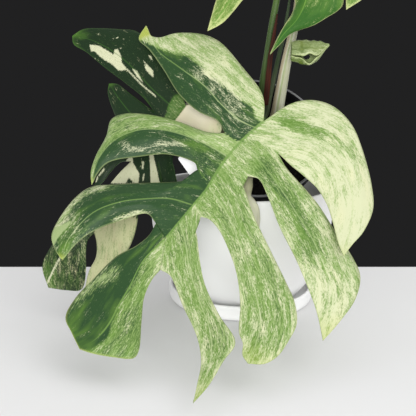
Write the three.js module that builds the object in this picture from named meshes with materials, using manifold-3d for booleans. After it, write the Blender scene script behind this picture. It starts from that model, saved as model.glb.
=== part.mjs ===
// Potted plant with large split leaves, in millimetres, +Z up.
// Origin: centre of the saucer's underside on the table; the front of the plant faces -Y.
import * as THREE from 'three';
import { mergeVertices } from 'three/addons/utils/BufferGeometryUtils.js';
import Module from 'manifold-3d';

const wasm = await Module();
wasm.setup();

// Saucer and outer pot
const SAUCER_R = 67;
const SAUCER_H = 14;
const SAUCER_WALL = 3.5;
const SAUCER_FLOOR = 4;
const POT_R = 82;
const POT_H = 106.5;
const POT_WALL = 3.5;
const POT_FOOT_R = 50;
const POT_BULGE_H = 61;
const POT_BASE_Z = 4.3;
const POT_DRAIN_R = 6;

// Nursery pot, tipped forward inside the outer pot
const NURSERY_R = 58;
const NURSERY_BASE_R = 41;
const NURSERY_DEPTH = 116;
const NURSERY_WALL = 1.6;
const NURSERY_BAND = 14;
const NURSERY_DRAIN_R = 5;
const NURSERY_MOUTH = new THREE.Vector3(7.4, -37.6, 153.9);
const NURSERY_AXIS = new THREE.Vector3(0.046, -0.773, 0.633).normalize();

// Soil
const SOIL_TOP = 20;
const SOIL_DEPTH = 108;
const SOIL_GAP = 0.5;
const HOLE_GAP = 0.5;
const ROOTED = 26;
const CLEAR = 7;

// Leaves
const BLADE = 0.9;
const ROWS = 11;
const SHARED_ROWS = 2;
const SHARED_PART = 0.2;

// Pieces around the leaf bases
const LABEL = { x: -24.6, y: -70.6, z: 108, width: 13, height: 84, thick: 0.8, lean: 35 };
const ROUND = 56;

const mouthRight = new THREE.Vector3(1, 0, 0)
  .addScaledVector(NURSERY_AXIS, -NURSERY_AXIS.x)
  .normalize();
const mouthUp = new THREE.Vector3().crossVectors(NURSERY_AXIS, mouthRight);

const group = new THREE.Group();
group.name = 'potted_plant';

// Point inside the nursery pot, given by its place on the mouth and its depth
function inNursery(right, up, depth) {
  return NURSERY_MOUTH.clone()
    .addScaledVector(mouthRight, right)
    .addScaledVector(mouthUp, up)
    .addScaledVector(NURSERY_AXIS, -depth);
}

function vec(list) {
  return new THREE.Vector3(list[0], list[1], list[2]);
}

// Closed body from corners and triangles, turned so that its faces look outward
function body(corners, faces) {
  const flat = corners.flatMap((p) => [p.x, p.y, p.z]);
  let volume = 0;
  for (const [a, b, c] of faces) {
    volume += corners[a].dot(new THREE.Vector3().crossVectors(corners[b], corners[c]));
  }
  const index = faces.flatMap(([a, b, c]) => (volume < 0 ? [a, c, b] : [a, b, c]));
  const geometry = new THREE.BufferGeometry();
  geometry.setAttribute('position', new THREE.Float32BufferAttribute(flat, 3));
  geometry.setIndex(index);
  return geometry;
}

// Body of revolution about Z from a closed loop or from a profile that ends on the axis
function revolve(profile, segments) {
  const corners = [];
  const faces = [];
  const rings = profile.map(([r, z]) => {
    if (r < 1e-6) {
      corners.push(new THREE.Vector3(0, 0, z));
      return new Array(segments).fill(corners.length - 1);
    }
    const ring = [];
    for (let s = 0; s < segments; s += 1) {
      const angle = (2 * Math.PI * s) / segments;
      ring.push(corners.length);
      corners.push(new THREE.Vector3(r * Math.cos(angle), r * Math.sin(angle), z));
    }
    return ring;
  });
  const closed = profile[0][0] > 1e-6;
  const last = closed ? rings.length : rings.length - 1;
  for (let i = 0; i < last; i += 1) {
    const low = rings[i];
    const high = rings[(i + 1) % rings.length];
    for (let s = 0; s < segments; s += 1) {
      const n = (s + 1) % segments;
      if (low[s] !== low[n]) faces.push([low[s], low[n], high[n]]);
      if (high[s] !== high[n]) faces.push([low[s], high[n], high[s]]);
    }
  }
  return body(corners, faces);
}

function toManifold(geometry) {
  const plain = geometry.clone();
  plain.deleteAttribute('normal');
  plain.deleteAttribute('uv');
  const merged = mergeVertices(plain, 1e-4);
  return new wasm.Manifold(new wasm.Mesh({
    numProp: 3,
    vertProperties: new Float32Array(merged.attributes.position.array),
    triVerts: new Uint32Array(merged.index.array),
  }));
}

function fromManifold(solid) {
  const mesh = solid.getMesh();
  const geometry = new THREE.BufferGeometry();
  geometry.setAttribute('position', new THREE.Float32BufferAttribute(mesh.vertProperties, 3));
  geometry.setIndex(Array.from(mesh.triVerts));
  return geometry;
}

function addMesh(name, geometry, color, roughness, metalness = 0) {
  geometry.computeVertexNormals();
  const material = new THREE.MeshStandardMaterial({ color, roughness, metalness });
  material.name = name;
  const mesh = new THREE.Mesh(geometry, material);
  mesh.name = name;
  group.add(mesh);
}

// Turns a body made about +Z so that it stands in the nursery pot's own frame
function intoNursery(geometry) {
  const turn = new THREE.Matrix4().makeBasis(mouthRight, mouthUp, NURSERY_AXIS);
  turn.setPosition(NURSERY_MOUTH);
  return geometry.applyMatrix4(turn);
}

// Smooth curve through a few points
function smooth(points) {
  return new THREE.CatmullRomCurve3(points, false, 'centripetal');
}

// Round or oval stalk along a smooth path; radius is given at even steps along it
function stalk(points, radii, sides, steps, flat = 1) {
  const curve = smooth(points);
  const corners = [];
  const faces = [];
  let across = new THREE.Vector3(1, 0, 0);
  for (let i = 0; i <= steps; i += 1) {
    const t = i / steps;
    const centre = curve.getPointAt(t);
    const along = curve.getTangentAt(t);
    across = across.clone().addScaledVector(along, -across.dot(along)).normalize();
    const other = new THREE.Vector3().crossVectors(along, across);
    const place = t * (radii.length - 1);
    const k = Math.min(Math.floor(place), radii.length - 2);
    const radius = radii[k] + (radii[k + 1] - radii[k]) * (place - k);
    for (let s = 0; s < sides; s += 1) {
      const angle = (2 * Math.PI * s) / sides;
      corners.push(centre.clone()
        .addScaledVector(across, radius * Math.cos(angle))
        .addScaledVector(other, radius * flat * Math.sin(angle)));
    }
  }
  for (let i = 0; i < steps; i += 1) {
    for (let s = 0; s < sides; s += 1) {
      const a = i * sides + s;
      const b = i * sides + ((s + 1) % sides);
      faces.push([a, b, b + sides], [a, b + sides, a + sides]);
    }
  }
  for (let s = 1; s < sides - 1; s += 1) {
    faces.push([0, s + 1, s]);
    const end = steps * sides;
    faces.push([end, end + s, end + s + 1]);
  }
  return body(corners, faces);
}

// Sheet of even thickness from a net of points: the same triangles on both faces, with side walls
function sheet(points, triangles, lift) {
  const used = new Map();
  for (const face of triangles) {
    for (let k = 0; k < 3; k += 1) {
      const a = face[k];
      const b = face[(k + 1) % 3];
      const back = `${b}_${a}`;
      if (used.has(back)) used.delete(back);
      else used.set(`${a}_${b}`, [a, b]);
    }
  }
  const count = points.length;
  const corners = points.map((p, i) => p.clone().add(lift(i)));
  for (let i = 0; i < count; i += 1) corners.push(points[i].clone().sub(lift(i)));
  const faces = [];
  for (const [a, b, c] of triangles) faces.push([a, b, c], [a + count, c + count, b + count]);
  for (const [a, b] of used.values()) faces.push([b, a, a + count], [b, a + count, b + count]);
  return body(corners, faces);
}

// Frame of a leaf: its base point, the midrib's direction and the way its upper face looks
function leafFrame(base, along, facing) {
  const u = vec(along).normalize();
  const n = vec(facing);
  n.addScaledVector(u, -n.dot(u)).normalize();
  return { base: vec(base), u, n, v: new THREE.Vector3().crossVectors(n, u) };
}

// Blade of a split leaf. Every lobe is a patch between two margins and its vein, and all
// patches start on shared stations of the midrib, so neighbours join up to the slit's end.
function blade(frame, leaf) {
  const scale = leaf.stations;
  const swayed = 0.6 * scale[16];
  const station = (i) => {
    const u = scale[i];
    return new THREE.Vector3(u, leaf.sway * Math.sin(Math.PI * Math.min(1, u / swayed)), 0);
  };
  const points = [];
  const places = new Map();
  const triangles = [];
  const flat = [];
  const corner = (u, v, h) => {
    const key = [u, v, h].map((x) => Math.round(x * 1000)).join('_');
    if (!places.has(key)) {
      places.set(key, points.length);
      flat.push([u, v]);
      points.push(frame.base.clone()
        .addScaledVector(frame.u, u)
        .addScaledVector(frame.v, v)
        .addScaledVector(frame.n, h));
    }
    return places.get(key);
  };
  const turnOf = (p, q, r) => (flat[q][0] - flat[p][0]) * (flat[r][1] - flat[p][1])
    - (flat[q][1] - flat[p][1]) * (flat[r][0] - flat[p][0]);
  for (const lobe of leaf.lobes) {
    const [from, vein, to] = lobe.stations;
    const fan = from === to;
    const columns = fan ? 4 : to - from;
    const middle = fan ? 2 : vein - from;
    const at2 = (list) => list.map(([u, v]) => new THREE.Vector3(u, v, 0));
    const margin = (start, list, slit) => {
      const curve = smooth([...(slit ? [] : [start]), ...at2(list)]);
      const row = [];
      for (let i = 0; i <= ROWS; i += 1) {
        const free = Math.max(0, (i - SHARED_ROWS) / (ROWS - SHARED_ROWS));
        const t = i <= SHARED_ROWS ? (SHARED_PART * i) / SHARED_ROWS
          : SHARED_PART + (1 - SHARED_PART) * free;
        if (slit && i <= SHARED_ROWS) {
          row.push(start.clone().lerp(at2(list)[0], i / SHARED_ROWS));
        } else {
          row.push(curve.getPointAt(slit ? free : t));
        }
      }
      return row;
    };
    const tip = [lobe.tip];
    const sideA = margin(station(from), [...lobe.a, ...tip], !lobe.freeA);
    const sideB = margin(station(to), [...lobe.b, ...tip], true);
    const ridge = margin(station(vein), [...lobe.vein, ...tip], false);
    const grid = [];
    for (let i = 0; i <= ROWS; i += 1) {
      const line = [];
      const free = Math.max(0, (i - SHARED_ROWS) / (ROWS - SHARED_ROWS));
      const t = i <= SHARED_ROWS ? (SHARED_PART * i) / SHARED_ROWS
        : SHARED_PART + (1 - SHARED_PART) * free;
      for (let j = 0; j <= columns; j += 1) {
        const w = j <= middle ? j / middle - 1 : (j - middle) / (columns - middle);
        let p = ridge[i].clone().lerp(w < 0 ? sideA[i] : sideB[i], Math.abs(w));
        if (i === 0) p = fan ? station(16) : station(from + j);
        const ends = Math.sin(Math.PI * t);
        let h = leaf.bend(p.x, p.y);
        h += lobe.keel * (1 - w * w) * ends;
        h += lobe.lift * free * free;
        h += lobe.wave * w * w * Math.sin(2 * Math.PI * lobe.waves * free + w) * Math.sin(Math.PI * free);
        line.push(corner(p.x, p.y, h));
      }
      grid.push(line);
    }
    for (let i = 0; i < ROWS; i += 1) {
      for (let j = 0; j < columns; j += 1) {
        const [a, b, c, d] = [grid[i][j], grid[i][j + 1], grid[i + 1][j + 1], grid[i + 1][j]];
        const split = turnOf(a, b, c) * turnOf(a, c, d) < 0 ? [[a, b, d], [b, c, d]] : [[a, b, c],
          [a, c, d]];
        for (const [p, q, r] of split) {
          if (p === q || q === r || r === p) continue;
          triangles.push(turnOf(p, q, r) < 0 ? [p, r, q] : [p, q, r]);
        }
      }
    }
  }
  const half = frame.n.clone().multiplyScalar(BLADE / 2);
  return sheet(points, triangles, () => half);
}

// Stations along the midrib for a blade of a given size
function stationsFor(size) {
  return [0, 4, 8, 12.5, 17, 25, 33, 40, 48, 58, 68, 77, 86, 94, 102, 110, 118].map((u) => u * size);
}

// Saucer: flat disc with a rounded upright rim
const saucerProfile = [
  [0, 0],
  [SAUCER_R - 4, 0],
  [SAUCER_R - 1.2, 1.6],
  [SAUCER_R, 4.5],
  [SAUCER_R, SAUCER_H - 1.4],
  [SAUCER_R - 0.6, SAUCER_H - 0.3],
  [SAUCER_R - 1.7, SAUCER_H],
  [SAUCER_R - SAUCER_WALL + 0.6, SAUCER_H - 0.5],
  [SAUCER_R - SAUCER_WALL, SAUCER_H - 1.6],
  [SAUCER_R - SAUCER_WALL - 0.4, SAUCER_FLOOR + 1.5],
  [SAUCER_R - SAUCER_WALL - 2, SAUCER_FLOOR],
  [0, SAUCER_FLOOR],
];
addMesh('saucer', revolve(saucerProfile, ROUND), 0xf0f0ee, 0.35);

// Outer pot: straight upper wall that runs into a wide round bottom
const potOutside = [
  [POT_FOOT_R, 0],
  [55.5, 3.4],
  [60, 8],
  [64.5, 15.5],
  [69, 26],
  [73.6, 39],
  [78.2, 51],
  [POT_R - 1, POT_BULGE_H + 3],
  [POT_R, POT_BULGE_H + 17],
];
const potProfile = [];
potProfile.push([POT_DRAIN_R, POT_BASE_Z]);
for (const [r, z] of potOutside) potProfile.push([r, POT_BASE_Z + z]);
potProfile.push([POT_R, POT_H - 1.2], [POT_R - 0.5, POT_H - 0.3], [POT_R - 1.5, POT_H]);
potProfile.push([POT_R - POT_WALL + 0.6, POT_H - 0.4], [POT_R - POT_WALL, POT_H - 1.4]);
for (const [r, z] of [...potOutside].reverse()) {
  if (z < 3) continue;
  potProfile.push([r - POT_WALL * (z < 10 ? 1.35 : 1.05), Math.max(POT_BASE_Z + z, POT_BASE_Z + POT_WALL)]);
}
potProfile.push([POT_DRAIN_R, POT_BASE_Z + POT_WALL]);
addMesh('outer_pot', revolve(potProfile, ROUND), 0xf3f3f1, 0.25);

// Nursery pot: thin tapered tub with a band below its lip, made about its own axis
const taper = (NURSERY_R - NURSERY_BASE_R) / NURSERY_DEPTH;
const nurseryProfile = [
  [NURSERY_DRAIN_R, -NURSERY_DEPTH],
  [NURSERY_BASE_R - 2, -NURSERY_DEPTH],
  [NURSERY_BASE_R, -NURSERY_DEPTH + 2],
  [NURSERY_R - NURSERY_BAND * taper - 1.2, -NURSERY_BAND - 1],
  [NURSERY_R - 0.8, -NURSERY_BAND],
  [NURSERY_R, -1],
  [NURSERY_R - 0.5, 0],
  [NURSERY_R - NURSERY_WALL - 0.3, -0.3],
  [NURSERY_R - NURSERY_WALL - 0.6, -NURSERY_BAND],
  [NURSERY_BASE_R - NURSERY_WALL - 0.4, -NURSERY_DEPTH + 4],
  [NURSERY_BASE_R - NURSERY_WALL - 2, -NURSERY_DEPTH + 2],
  [NURSERY_DRAIN_R, -NURSERY_DEPTH + 2],
];
addMesh('nursery_pot', intoNursery(revolve(nurseryProfile, 48)), 0x1c1d1f, 0.45);

// Stems, each with its place on the soil and its path above it
const stems = {
  main_stem: {
    root: [17.6, 17.4],
    path: [[28, -20, 170], [29, -27, 182], [30, -35, 195], [32, -42, 213], [35, -48, 231], [38, -50, 250],
      [39.5, -45, 268], [40, -36, 287], [40, -27, 302]],
    radii: [5.4, 5.4, 5.2, 4.6, 3.9, 3.4, 3, 2.6, 1],
    color: 0xd9dac4,
  },
  stem_sheath: {
    root: [10.6, 23.2],
    path: [[20, -12, 170], [21.4, -19, 182], [23.2, -27, 195], [26, -33.5, 213], [29, -39.5, 230],
      [32.2, -44, 254], [34, -42, 270]],
    radii: [2.3, 2.3, 2.3, 2.2, 2, 1.8, 1.5, 1.1, 0.6],
    color: 0x5e7d50,
  },
  petiole_top: {
    root: [3.4, 17],
    path: [[12.5, -18, 170], [13.6, -25, 182], [14, -32, 194], [16.6, -40, 217], [19, -44, 236],
      [22.5, -46, 258],
      [29, -35, 290], [38, -21, 316], [52, -8, 330], [60, -6.5, 333.5], [61.3, -15.4, 338.5]],
    radii: [3, 3, 2.9, 2.7, 2.6, 2.5, 2.5, 2.6, 2.6],
    color: 0x6d9a4c,
  },
  petiole_front: {
    root: [3, -2],
    path: [[9, -34, 148], [10, -48, 158], [11.4, -60, 166.5], [11.9, -66.2, 167.6]],
    radii: [4.2, 4.2, 4, 3.6, 3.2, 2.8],
    color: 0x9dbb63,
  },
  petiole_left: {
    root: [-14, 6],
    path: [[-9, -32, 146], [-15, -37, 155], [-24, -39, 164], [-35, -36, 171.5], [-43, -31, 174.5],
      [-47.8, -33.6, 176.8]],
    radii: [5, 5, 5, 5, 6.6, 7.4, 7.2, 6, 4.4],
    color: 0xd7dcae,
  },
  aerial_root: {
    root: [-2, -22],
    path: [[4, -56, 130], [2.5, -68, 128], [0.5, -79, 126.5], [0, -87, 121], [1, -91, 109.5],
      [3.6, -91.5, 94],
      [6.1, -91.3, 78.6], [8.5, -91, 62]],
    radii: [4.2, 4.2, 4.2, 4.2, 4.3, 4.3, 4.1, 3.7, 2.4],
    color: 0xcdbb93,
  },
};
const holes = [];
for (const [name, stem] of Object.entries(stems)) {
  const [right, up] = stem.root;
  const start = [inNursery(right, up, SOIL_TOP + ROOTED), inNursery(right, up, SOIL_TOP + ROOTED / 2)];
  start.push(inNursery(right, up, SOIL_TOP - 1), inNursery(right, up, SOIL_TOP - CLEAR));
  const path = [...start, ...stem.path.map(vec)];
  addMesh(name, stalk(path, stem.radii, 12, 20), stem.color, 0.5);
  holes.push({ right, up, radius: stem.radii[0] });
}

// Soil: plug that fills the nursery pot, with a plain blind hole for every stem
const soilR = (depth) => NURSERY_R - NURSERY_WALL - 0.6 - taper * depth - SOIL_GAP;
const soilProfile = [
  [0, -SOIL_DEPTH],
  [soilR(SOIL_DEPTH) - 1, -SOIL_DEPTH],
  [soilR(SOIL_TOP + 1), -SOIL_TOP - 1],
  [soilR(SOIL_TOP) - 6, -SOIL_TOP + 0.4],
  [0, -SOIL_TOP],
];
let soil = toManifold(revolve(soilProfile, 48));
for (const hole of holes) {
  const r = hole.radius + HOLE_GAP;
  const bottom = -SOIL_TOP - ROOTED - 1.5;
  const drill = revolve([[0, bottom], [r, bottom], [r, 5], [0, 5]], 20);
  drill.translate(hole.right, hole.up, 0);
  soil = soil.subtract(toManifold(drill));
}
addMesh('soil', intoNursery(fromManifold(soil)), 0x2a221b, 0.95);

// Plant label: blank card that stands between the nursery pot and the outer pot
const card = new THREE.BoxGeometry(LABEL.width, LABEL.thick, LABEL.height);
card.deleteAttribute('normal');
card.deleteAttribute('uv');
const label = mergeVertices(card);
label.rotateY(-THREE.MathUtils.degToRad(LABEL.lean));
label.translate(LABEL.x, LABEL.y, LABEL.z);
addMesh('plant_label', label, 0xe8e8e6, 0.5);

// Dried brown sheath that lies along the green petiole
const sheathPath = [[19, -33.5, 178], [19.6, -39, 192], [20.6, -45.5, 213], [22.4, -49.2, 231],
  [24.4, -51, 247]];
addMesh('dried_sheath', stalk(sheathPath.map(vec), [2.2, 2.4, 2, 1.5, 0.6], 8, 12, 0.45), 0x6a3322, 0.7);

// Front leaf
const frontFrame = leafFrame([12, -70, 167], [-0.62, -0.4, -0.68], [-0.02, -0.855, 0.52]);
const frontLeaf = {
  stations: stationsFor(1),
  sway: -4,
  bend: (u, v) => 12e-4 * u * v - 6e-4 * v * v,
  lobes: [
    {
      stations: [0, 2, 5], freeA: true, keel: 4, lift: -3, wave: 1, waves: 1.5,
      a: [[-13, -9], [-20, -18], [-28, -42], [-36, -72], [-34, -88], [-24, -106], [-13, -116], [-11, -125]],
      vein: [[11, -15], [9, -34], [4, -55], [2, -80], [-2, -108]],
      b: [[26, -17], [21, -27], [23, -46], [19, -68], [9, -92], [0, -116], [-4, -131]],
      tip: [-17, -134],
    },
    {
      stations: [5, 7, 10], keel: 6, lift: 3, wave: 0.8, waves: 1.5,
      a: [[26, -17], [33, -28], [39, -52], [48, -78], [57, -94], [66, -100], [80, -93], [98, -88],
        [110, -82]],
      vein: [[44, -30], [54, -58], [66, -74], [82, -83], [100, -83]],
      b: [[62, -15], [59, -25], [66, -44], [80, -60], [97, -76], [108, -77]],
      tip: [118, -74],
    },
    {
      stations: [10, 13, 16], keel: 6, lift: 3, wave: 1.2, waves: 1.5,
      a: [[62, -15], [74, -18], [92, -38], [108, -61], [120, -75], [134, -79], [153, -77], [166, -72],
        [172, -62]],
      vein: [[98, -24], [112, -42], [130, -56], [152, -62], [166, -58]],
      b: [[113, -13], [111, -23], [124, -35], [140, -45], [158, -51]],
      tip: [175, -51],
    },
    {
      stations: [16, 16, 16], keel: 3, lift: 8, wave: 1, waves: 2,
      a: [[113, -13], [122, -11], [134, -13], [150, -20], [172, -22], [190, -22], [203, -18], [208, -6]],
      vein: [[165, 3], [190, 6]],
      b: [[138, 12], [146, 12], [160, 16], [174, 26], [188, 37], [194, 38], [202, 27], [209, 14]],
      tip: [212, 6],
    },
    {
      stations: [12, 14, 16], keel: 2, lift: 24, wave: 1.2, waves: 2,
      a: [[90, 10], [97, 10], [104, 18], [117, 31], [128, 44], [139, 65], [147, 84], [160, 85], [178, 87]],
      vein: [[112, 14], [124, 27], [138, 47], [152, 68], [168, 80]],
      b: [[138, 12], [137, 20], [148, 41], [160, 64], [170, 75], [181, 81]],
      tip: [191, 86],
    },
    {
      stations: [8, 10, 12], keel: 2, lift: 8, wave: 1.4, waves: 2,
      a: [[44, 18], [50, 18], [58, 28], [68, 42], [80, 64], [93, 87], [101, 99], [112, 108],
        [124, 110], [137, 110], [146, 106]],
      vein: [[76, 22], [90, 45], [108, 70], [128, 90]],
      b: [[90, 10], [88, 16], [91, 29], [105, 52], [124, 71], [140, 82], [144, 88], [150, 92]],
      tip: [152, 98],
    },
    {
      stations: [4, 6, 8], keel: 2, lift: 0, wave: 1.2, waves: 2,
      a: [[15, 24], [21, 36], [30, 70], [38, 90], [48, 113], [56, 124], [72, 130], [90, 130]],
      vein: [[36, 28], [48, 58], [64, 90], [84, 114]],
      b: [[44, 18], [41, 25], [48, 39], [62, 60], [78, 88], [94, 112]],
      tip: [109, 128],
    },
    {
      stations: [0, 2, 4], freeA: true, keel: 3, lift: 9, wave: 1, waves: 1.5,
      a: [[-6, 2], [-18, 5], [-30, 11], [-40, 22], [-44, 36], [-40, 54], [-27, 73], [-8, 93],
        [8, 104], [29, 108], [43, 107]],
      vein: [[-2, 22], [-12, 48], [-4, 72], [18, 92]],
      b: [[15, 24], [12, 32], [14, 50], [22, 67], [38, 89], [48, 99]],
      tip: [54, 107],
    },
  ],
};
addMesh('leaf_front', blade(frontFrame, frontLeaf), 0x7fa763, 0.4);

// Left leaf: its right half stays short, beside the pots
const leftFrame = leafFrame([-49, -37, 178], [-0.603, -0.1, -0.791], [-0.305, -0.888, 0.344]);
const leftLeaf = {
  stations: stationsFor(1),
  sway: 0,
  bend: (u, v) => (v > 0 ? 9 * Math.min(1, v / 30) ** 2 : 0),
  lobes: [
    {
      stations: [0, 2, 5], freeA: true, keel: 3, lift: 2, wave: 0.8, waves: 1.5,
      a: [[-8, -14], [-20, -40], [-26, -79], [-19, -95], [-10, -111], [0, -125]],
      vein: [[6, -30], [0, -70], [2, -106]],
      b: [[20, -18], [16, -34], [15, -56], [15, -84], [14, -108], [15, -124]],
      tip: [10, -130],
    },
    {
      stations: [5, 6, 8], keel: 3, lift: 0, wave: 0.8, waves: 1,
      a: [[20, -18], [20, -34], [20, -50], [20, -64]],
      vein: [[34, -24], [30, -48]],
      b: [[50, -12], [49, -30], [41, -50], [31, -66]],
      tip: [24, -71],
    },
    {
      stations: [8, 9, 10], keel: 1, lift: 0, wave: 0.6, waves: 1,
      a: [[50, -12], [58, -23], [68, -31], [79, -33], [89, -28]],
      vein: [[64, -18], [78, -25], [90, -24]],
      b: [[64, -9], [70, -16], [82, -19], [94, -19]],
      tip: [102, -22],
    },
    {
      stations: [10, 13, 16], keel: 1, lift: 0, wave: 0.3, waves: 1,
      a: [[64, -9], [76, -11], [90, -12], [104, -15]],
      vein: [[98, -8], [106, -13]],
      b: [[112, -13], [113, -15]],
      tip: [112, -18],
    },
    {
      stations: [16, 16, 16], keel: 3, lift: -4, wave: 1, waves: 1.5,
      a: [[112, -13], [124, -16], [138, -21], [152, -23], [168, -23], [182, -19]],
      vein: [[150, -4], [176, -2]],
      b: [[130, 3], [138, 2], [148, 9], [156, 17], [170, 27], [182, 14]],
      tip: [193, -3],
    },
    {
      stations: [12, 14, 16], keel: 2, lift: 3, wave: 0.8, waves: 1.5,
      a: [[84, 14], [92, 27], [106, 37], [124, 41], [146, 38]],
      vein: [[116, 16], [142, 26]],
      b: [[130, 3], [134, 11], [143, 20], [154, 24]],
      tip: [168, 33],
    },
    {
      stations: [8, 10, 12], keel: 1, lift: 0, wave: 0.6, waves: 1,
      a: [[50, 12], [56, 24], [64, 33], [74, 38]],
      vein: [[76, 20], [82, 32]],
      b: [[84, 14], [87, 24], [88, 33]],
      tip: [86, 39],
    },
    {
      stations: [4, 6, 8], keel: 1, lift: 0, wave: 0.6, waves: 1,
      a: [[24, 12], [26, 24], [30, 34], [36, 39]],
      vein: [[38, 18], [44, 32]],
      b: [[50, 12], [52, 22], [53, 32]],
      tip: [48, 40],
    },
    {
      stations: [0, 2, 4], freeA: true, keel: 1, lift: 0, wave: 0.6, waves: 1,
      a: [[-5, 6], [-7, 16], [-2, 27], [8, 35]],
      vein: [[10, 12], [14, 28]],
      b: [[24, 12], [23, 22], [23, 32]],
      tip: [20, 38],
    },
  ],
};
addMesh('leaf_left', blade(leftFrame, leftLeaf), 0x3f6a3a, 0.4);

// Top leaf: three lobes on either side of a narrow end
const topFrame = leafFrame([61, -18, 340], [-0.61, -0.34, -0.71], [-0.1, -0.87, 0.48]);
const topLeaf = {
  stations: stationsFor(0.71),
  sway: 0,
  bend: (u, v) => -6e-4 * v * v,
  lobes: [
    {
      stations: [0, 2, 5], freeA: true, keel: 3, lift: -4, wave: 1, waves: 1.5,
      a: [[-12, -6], [-26, -22], [-30, -44], [-24, -66], [-10, -82], [6, -90]],
      vein: [[4, -20], [-6, -44], [4, -72]],
      b: [[14, -18], [17, -44], [20, -66], [22, -82]],
      tip: [24, -92],
    },
    {
      stations: [5, 7, 10], keel: 3, lift: -3, wave: 1, waves: 1.5,
      a: [[14, -18], [26, -44], [34, -70], [44, -88], [58, -96]],
      vein: [[36, -26], [46, -56], [60, -84]],
      b: [[40, -16], [50, -38], [60, -60], [68, -80]],
      tip: [76, -98],
    },
    {
      stations: [10, 13, 16], keel: 3, lift: 0, wave: 1, waves: 1.5,
      a: [[40, -16], [52, -34], [62, -56], [74, -74], [90, -82], [106, -78]],
      vein: [[74, -16], [88, -42], [106, -62]],
      b: [[86, -13], [92, -30], [106, -48], [118, -60]],
      tip: [124, -68],
    },
    {
      stations: [16, 16, 16], keel: 2, lift: 2, wave: 1, waves: 1.5,
      a: [[86, -13], [98, -15], [112, -14], [125, -11], [138, -5]],
      vein: [[110, -2], [132, 0]],
      b: [[90, 11], [101, 7], [114, 5], [125, 6], [138, 6]],
      tip: [151, 1],
    },
    {
      stations: [8, 12, 16], keel: 4, lift: 0, wave: 1, waves: 1.5,
      a: [[38, 15], [50, 33], [61, 53], [69, 65], [76, 68], [90, 64], [101, 60], [109, 55], [117, 51],
        [129, 50]],
      vein: [[68, 18], [84, 42], [104, 49], [122, 48]],
      b: [[90, 11], [88, 24], [92, 38], [101, 42], [114, 44], [126, 46]],
      tip: [139, 49],
    },
    {
      stations: [4, 6, 8], keel: 3, lift: 3, wave: 0.6, waves: 1.5,
      a: [[12, 18], [18, 40], [26, 60], [38, 74], [52, 79], [65, 77]],
      vein: [[28, 18], [38, 42], [52, 67]],
      b: [[38, 15], [47, 35], [57, 53], [67, 65]],
      tip: [78, 73],
    },
    {
      stations: [0, 2, 4], freeA: true, keel: 3, lift: -4, wave: 1, waves: 1.5,
      a: [[-10, 4], [-24, 16], [-30, 34], [-24, 56], [-10, 74], [8, 84]],
      vein: [[4, 20], [-4, 44], [10, 72]],
      b: [[12, 18], [14, 40], [19, 62], [24, 78]],
      tip: [26, 90],
    },
  ],
};
addMesh('leaf_top', blade(topFrame, topLeaf), 0x5f9447, 0.4);

// New leaf, still rolled, beside the main stem
const rollAxis = [[33.4, -57, 218.6], [42, -57, 218], [52, -56.5, 219], [63.5, -55, 223.4]].map(vec);
const rollRadii = [6.8, 8.4, 9.2, 9.3, 9, 8, 5, 0.9];
const rollFlat = 0.5;
const rollGap = 0.7;
const rollSteps = 10;
const rollSides = 14;
const rollCurve = smooth(rollAxis);
const rollPoints = [];
const rollNormals = [];
for (let i = 0; i <= rollSteps; i += 1) {
  const t = i / rollSteps;
  const centre = rollCurve.getPointAt(t);
  const place = t * (rollRadii.length - 1);
  const k = Math.min(Math.floor(place), rollRadii.length - 2);
  const radius = rollRadii[k] + (rollRadii[k + 1] - rollRadii[k]) * (place - k);
  for (let s = 0; s <= rollSides; s += 1) {
    const turn = rollGap / 2 + ((2 * Math.PI - rollGap) * s) / rollSides;
    const out = new THREE.Vector3(0, rollFlat * Math.sin(turn - 0.9), -Math.cos(turn - 0.9));
    rollNormals.push(out.clone().multiplyScalar(0.35 + 0.1 * Math.min(1, radius)));
    rollPoints.push(centre.clone().addScaledVector(out, radius));
  }
}
const rollFaces = [];
for (let i = 0; i < rollSteps; i += 1) {
  for (let s = 0; s < rollSides; s += 1) {
    const a = i * (rollSides + 1) + s;
    const b = a + rollSides + 1;
    rollFaces.push([a, a + 1, b + 1], [a, b + 1, b]);
  }
}
addMesh('leaf_new', sheet(rollPoints, rollFaces, (i) => rollNormals[i]), 0x9fb26a, 0.5);

export default group;
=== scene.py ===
import bpy
import bmesh
import math
import random
import numpy as np
from mathutils import Vector, Matrix, noise


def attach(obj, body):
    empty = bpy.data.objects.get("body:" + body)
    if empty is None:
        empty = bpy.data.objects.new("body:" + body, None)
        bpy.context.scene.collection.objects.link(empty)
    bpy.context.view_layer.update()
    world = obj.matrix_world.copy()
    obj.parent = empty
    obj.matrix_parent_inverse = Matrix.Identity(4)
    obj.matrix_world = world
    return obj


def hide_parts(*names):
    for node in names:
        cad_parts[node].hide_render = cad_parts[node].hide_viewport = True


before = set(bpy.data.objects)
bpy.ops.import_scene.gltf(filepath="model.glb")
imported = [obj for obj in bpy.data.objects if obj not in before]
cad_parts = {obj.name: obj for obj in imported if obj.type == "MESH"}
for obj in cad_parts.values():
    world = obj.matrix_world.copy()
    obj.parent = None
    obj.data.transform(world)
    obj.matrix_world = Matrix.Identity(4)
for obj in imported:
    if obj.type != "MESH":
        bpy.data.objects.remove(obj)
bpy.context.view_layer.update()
random.seed(7)
mm = 0.001
scene = bpy.context.scene
scene.view_settings.view_transform = "Standard"


# meshes and objects
def finished(name, bm, mats, nodes, smooth=True):
    mesh = bpy.data.meshes.new(name)
    bm.to_mesh(mesh)
    bm.free()
    obj = bpy.data.objects.new(name, mesh)
    scene.collection.objects.link(obj)
    for mat in mats:
        mesh.materials.append(mat)
    if smooth:
        mesh.polygons.foreach_set("use_smooth", [True] * len(mesh.polygons))
    mesh.update()
    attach(obj, "root")
    if nodes:
        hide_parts(*nodes)
    return obj


def thickened(obj, wall):
    mod = obj.modifiers.new("thickness", "SOLIDIFY")
    mod.thickness = wall * mm
    mod.offset = 0


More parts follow.
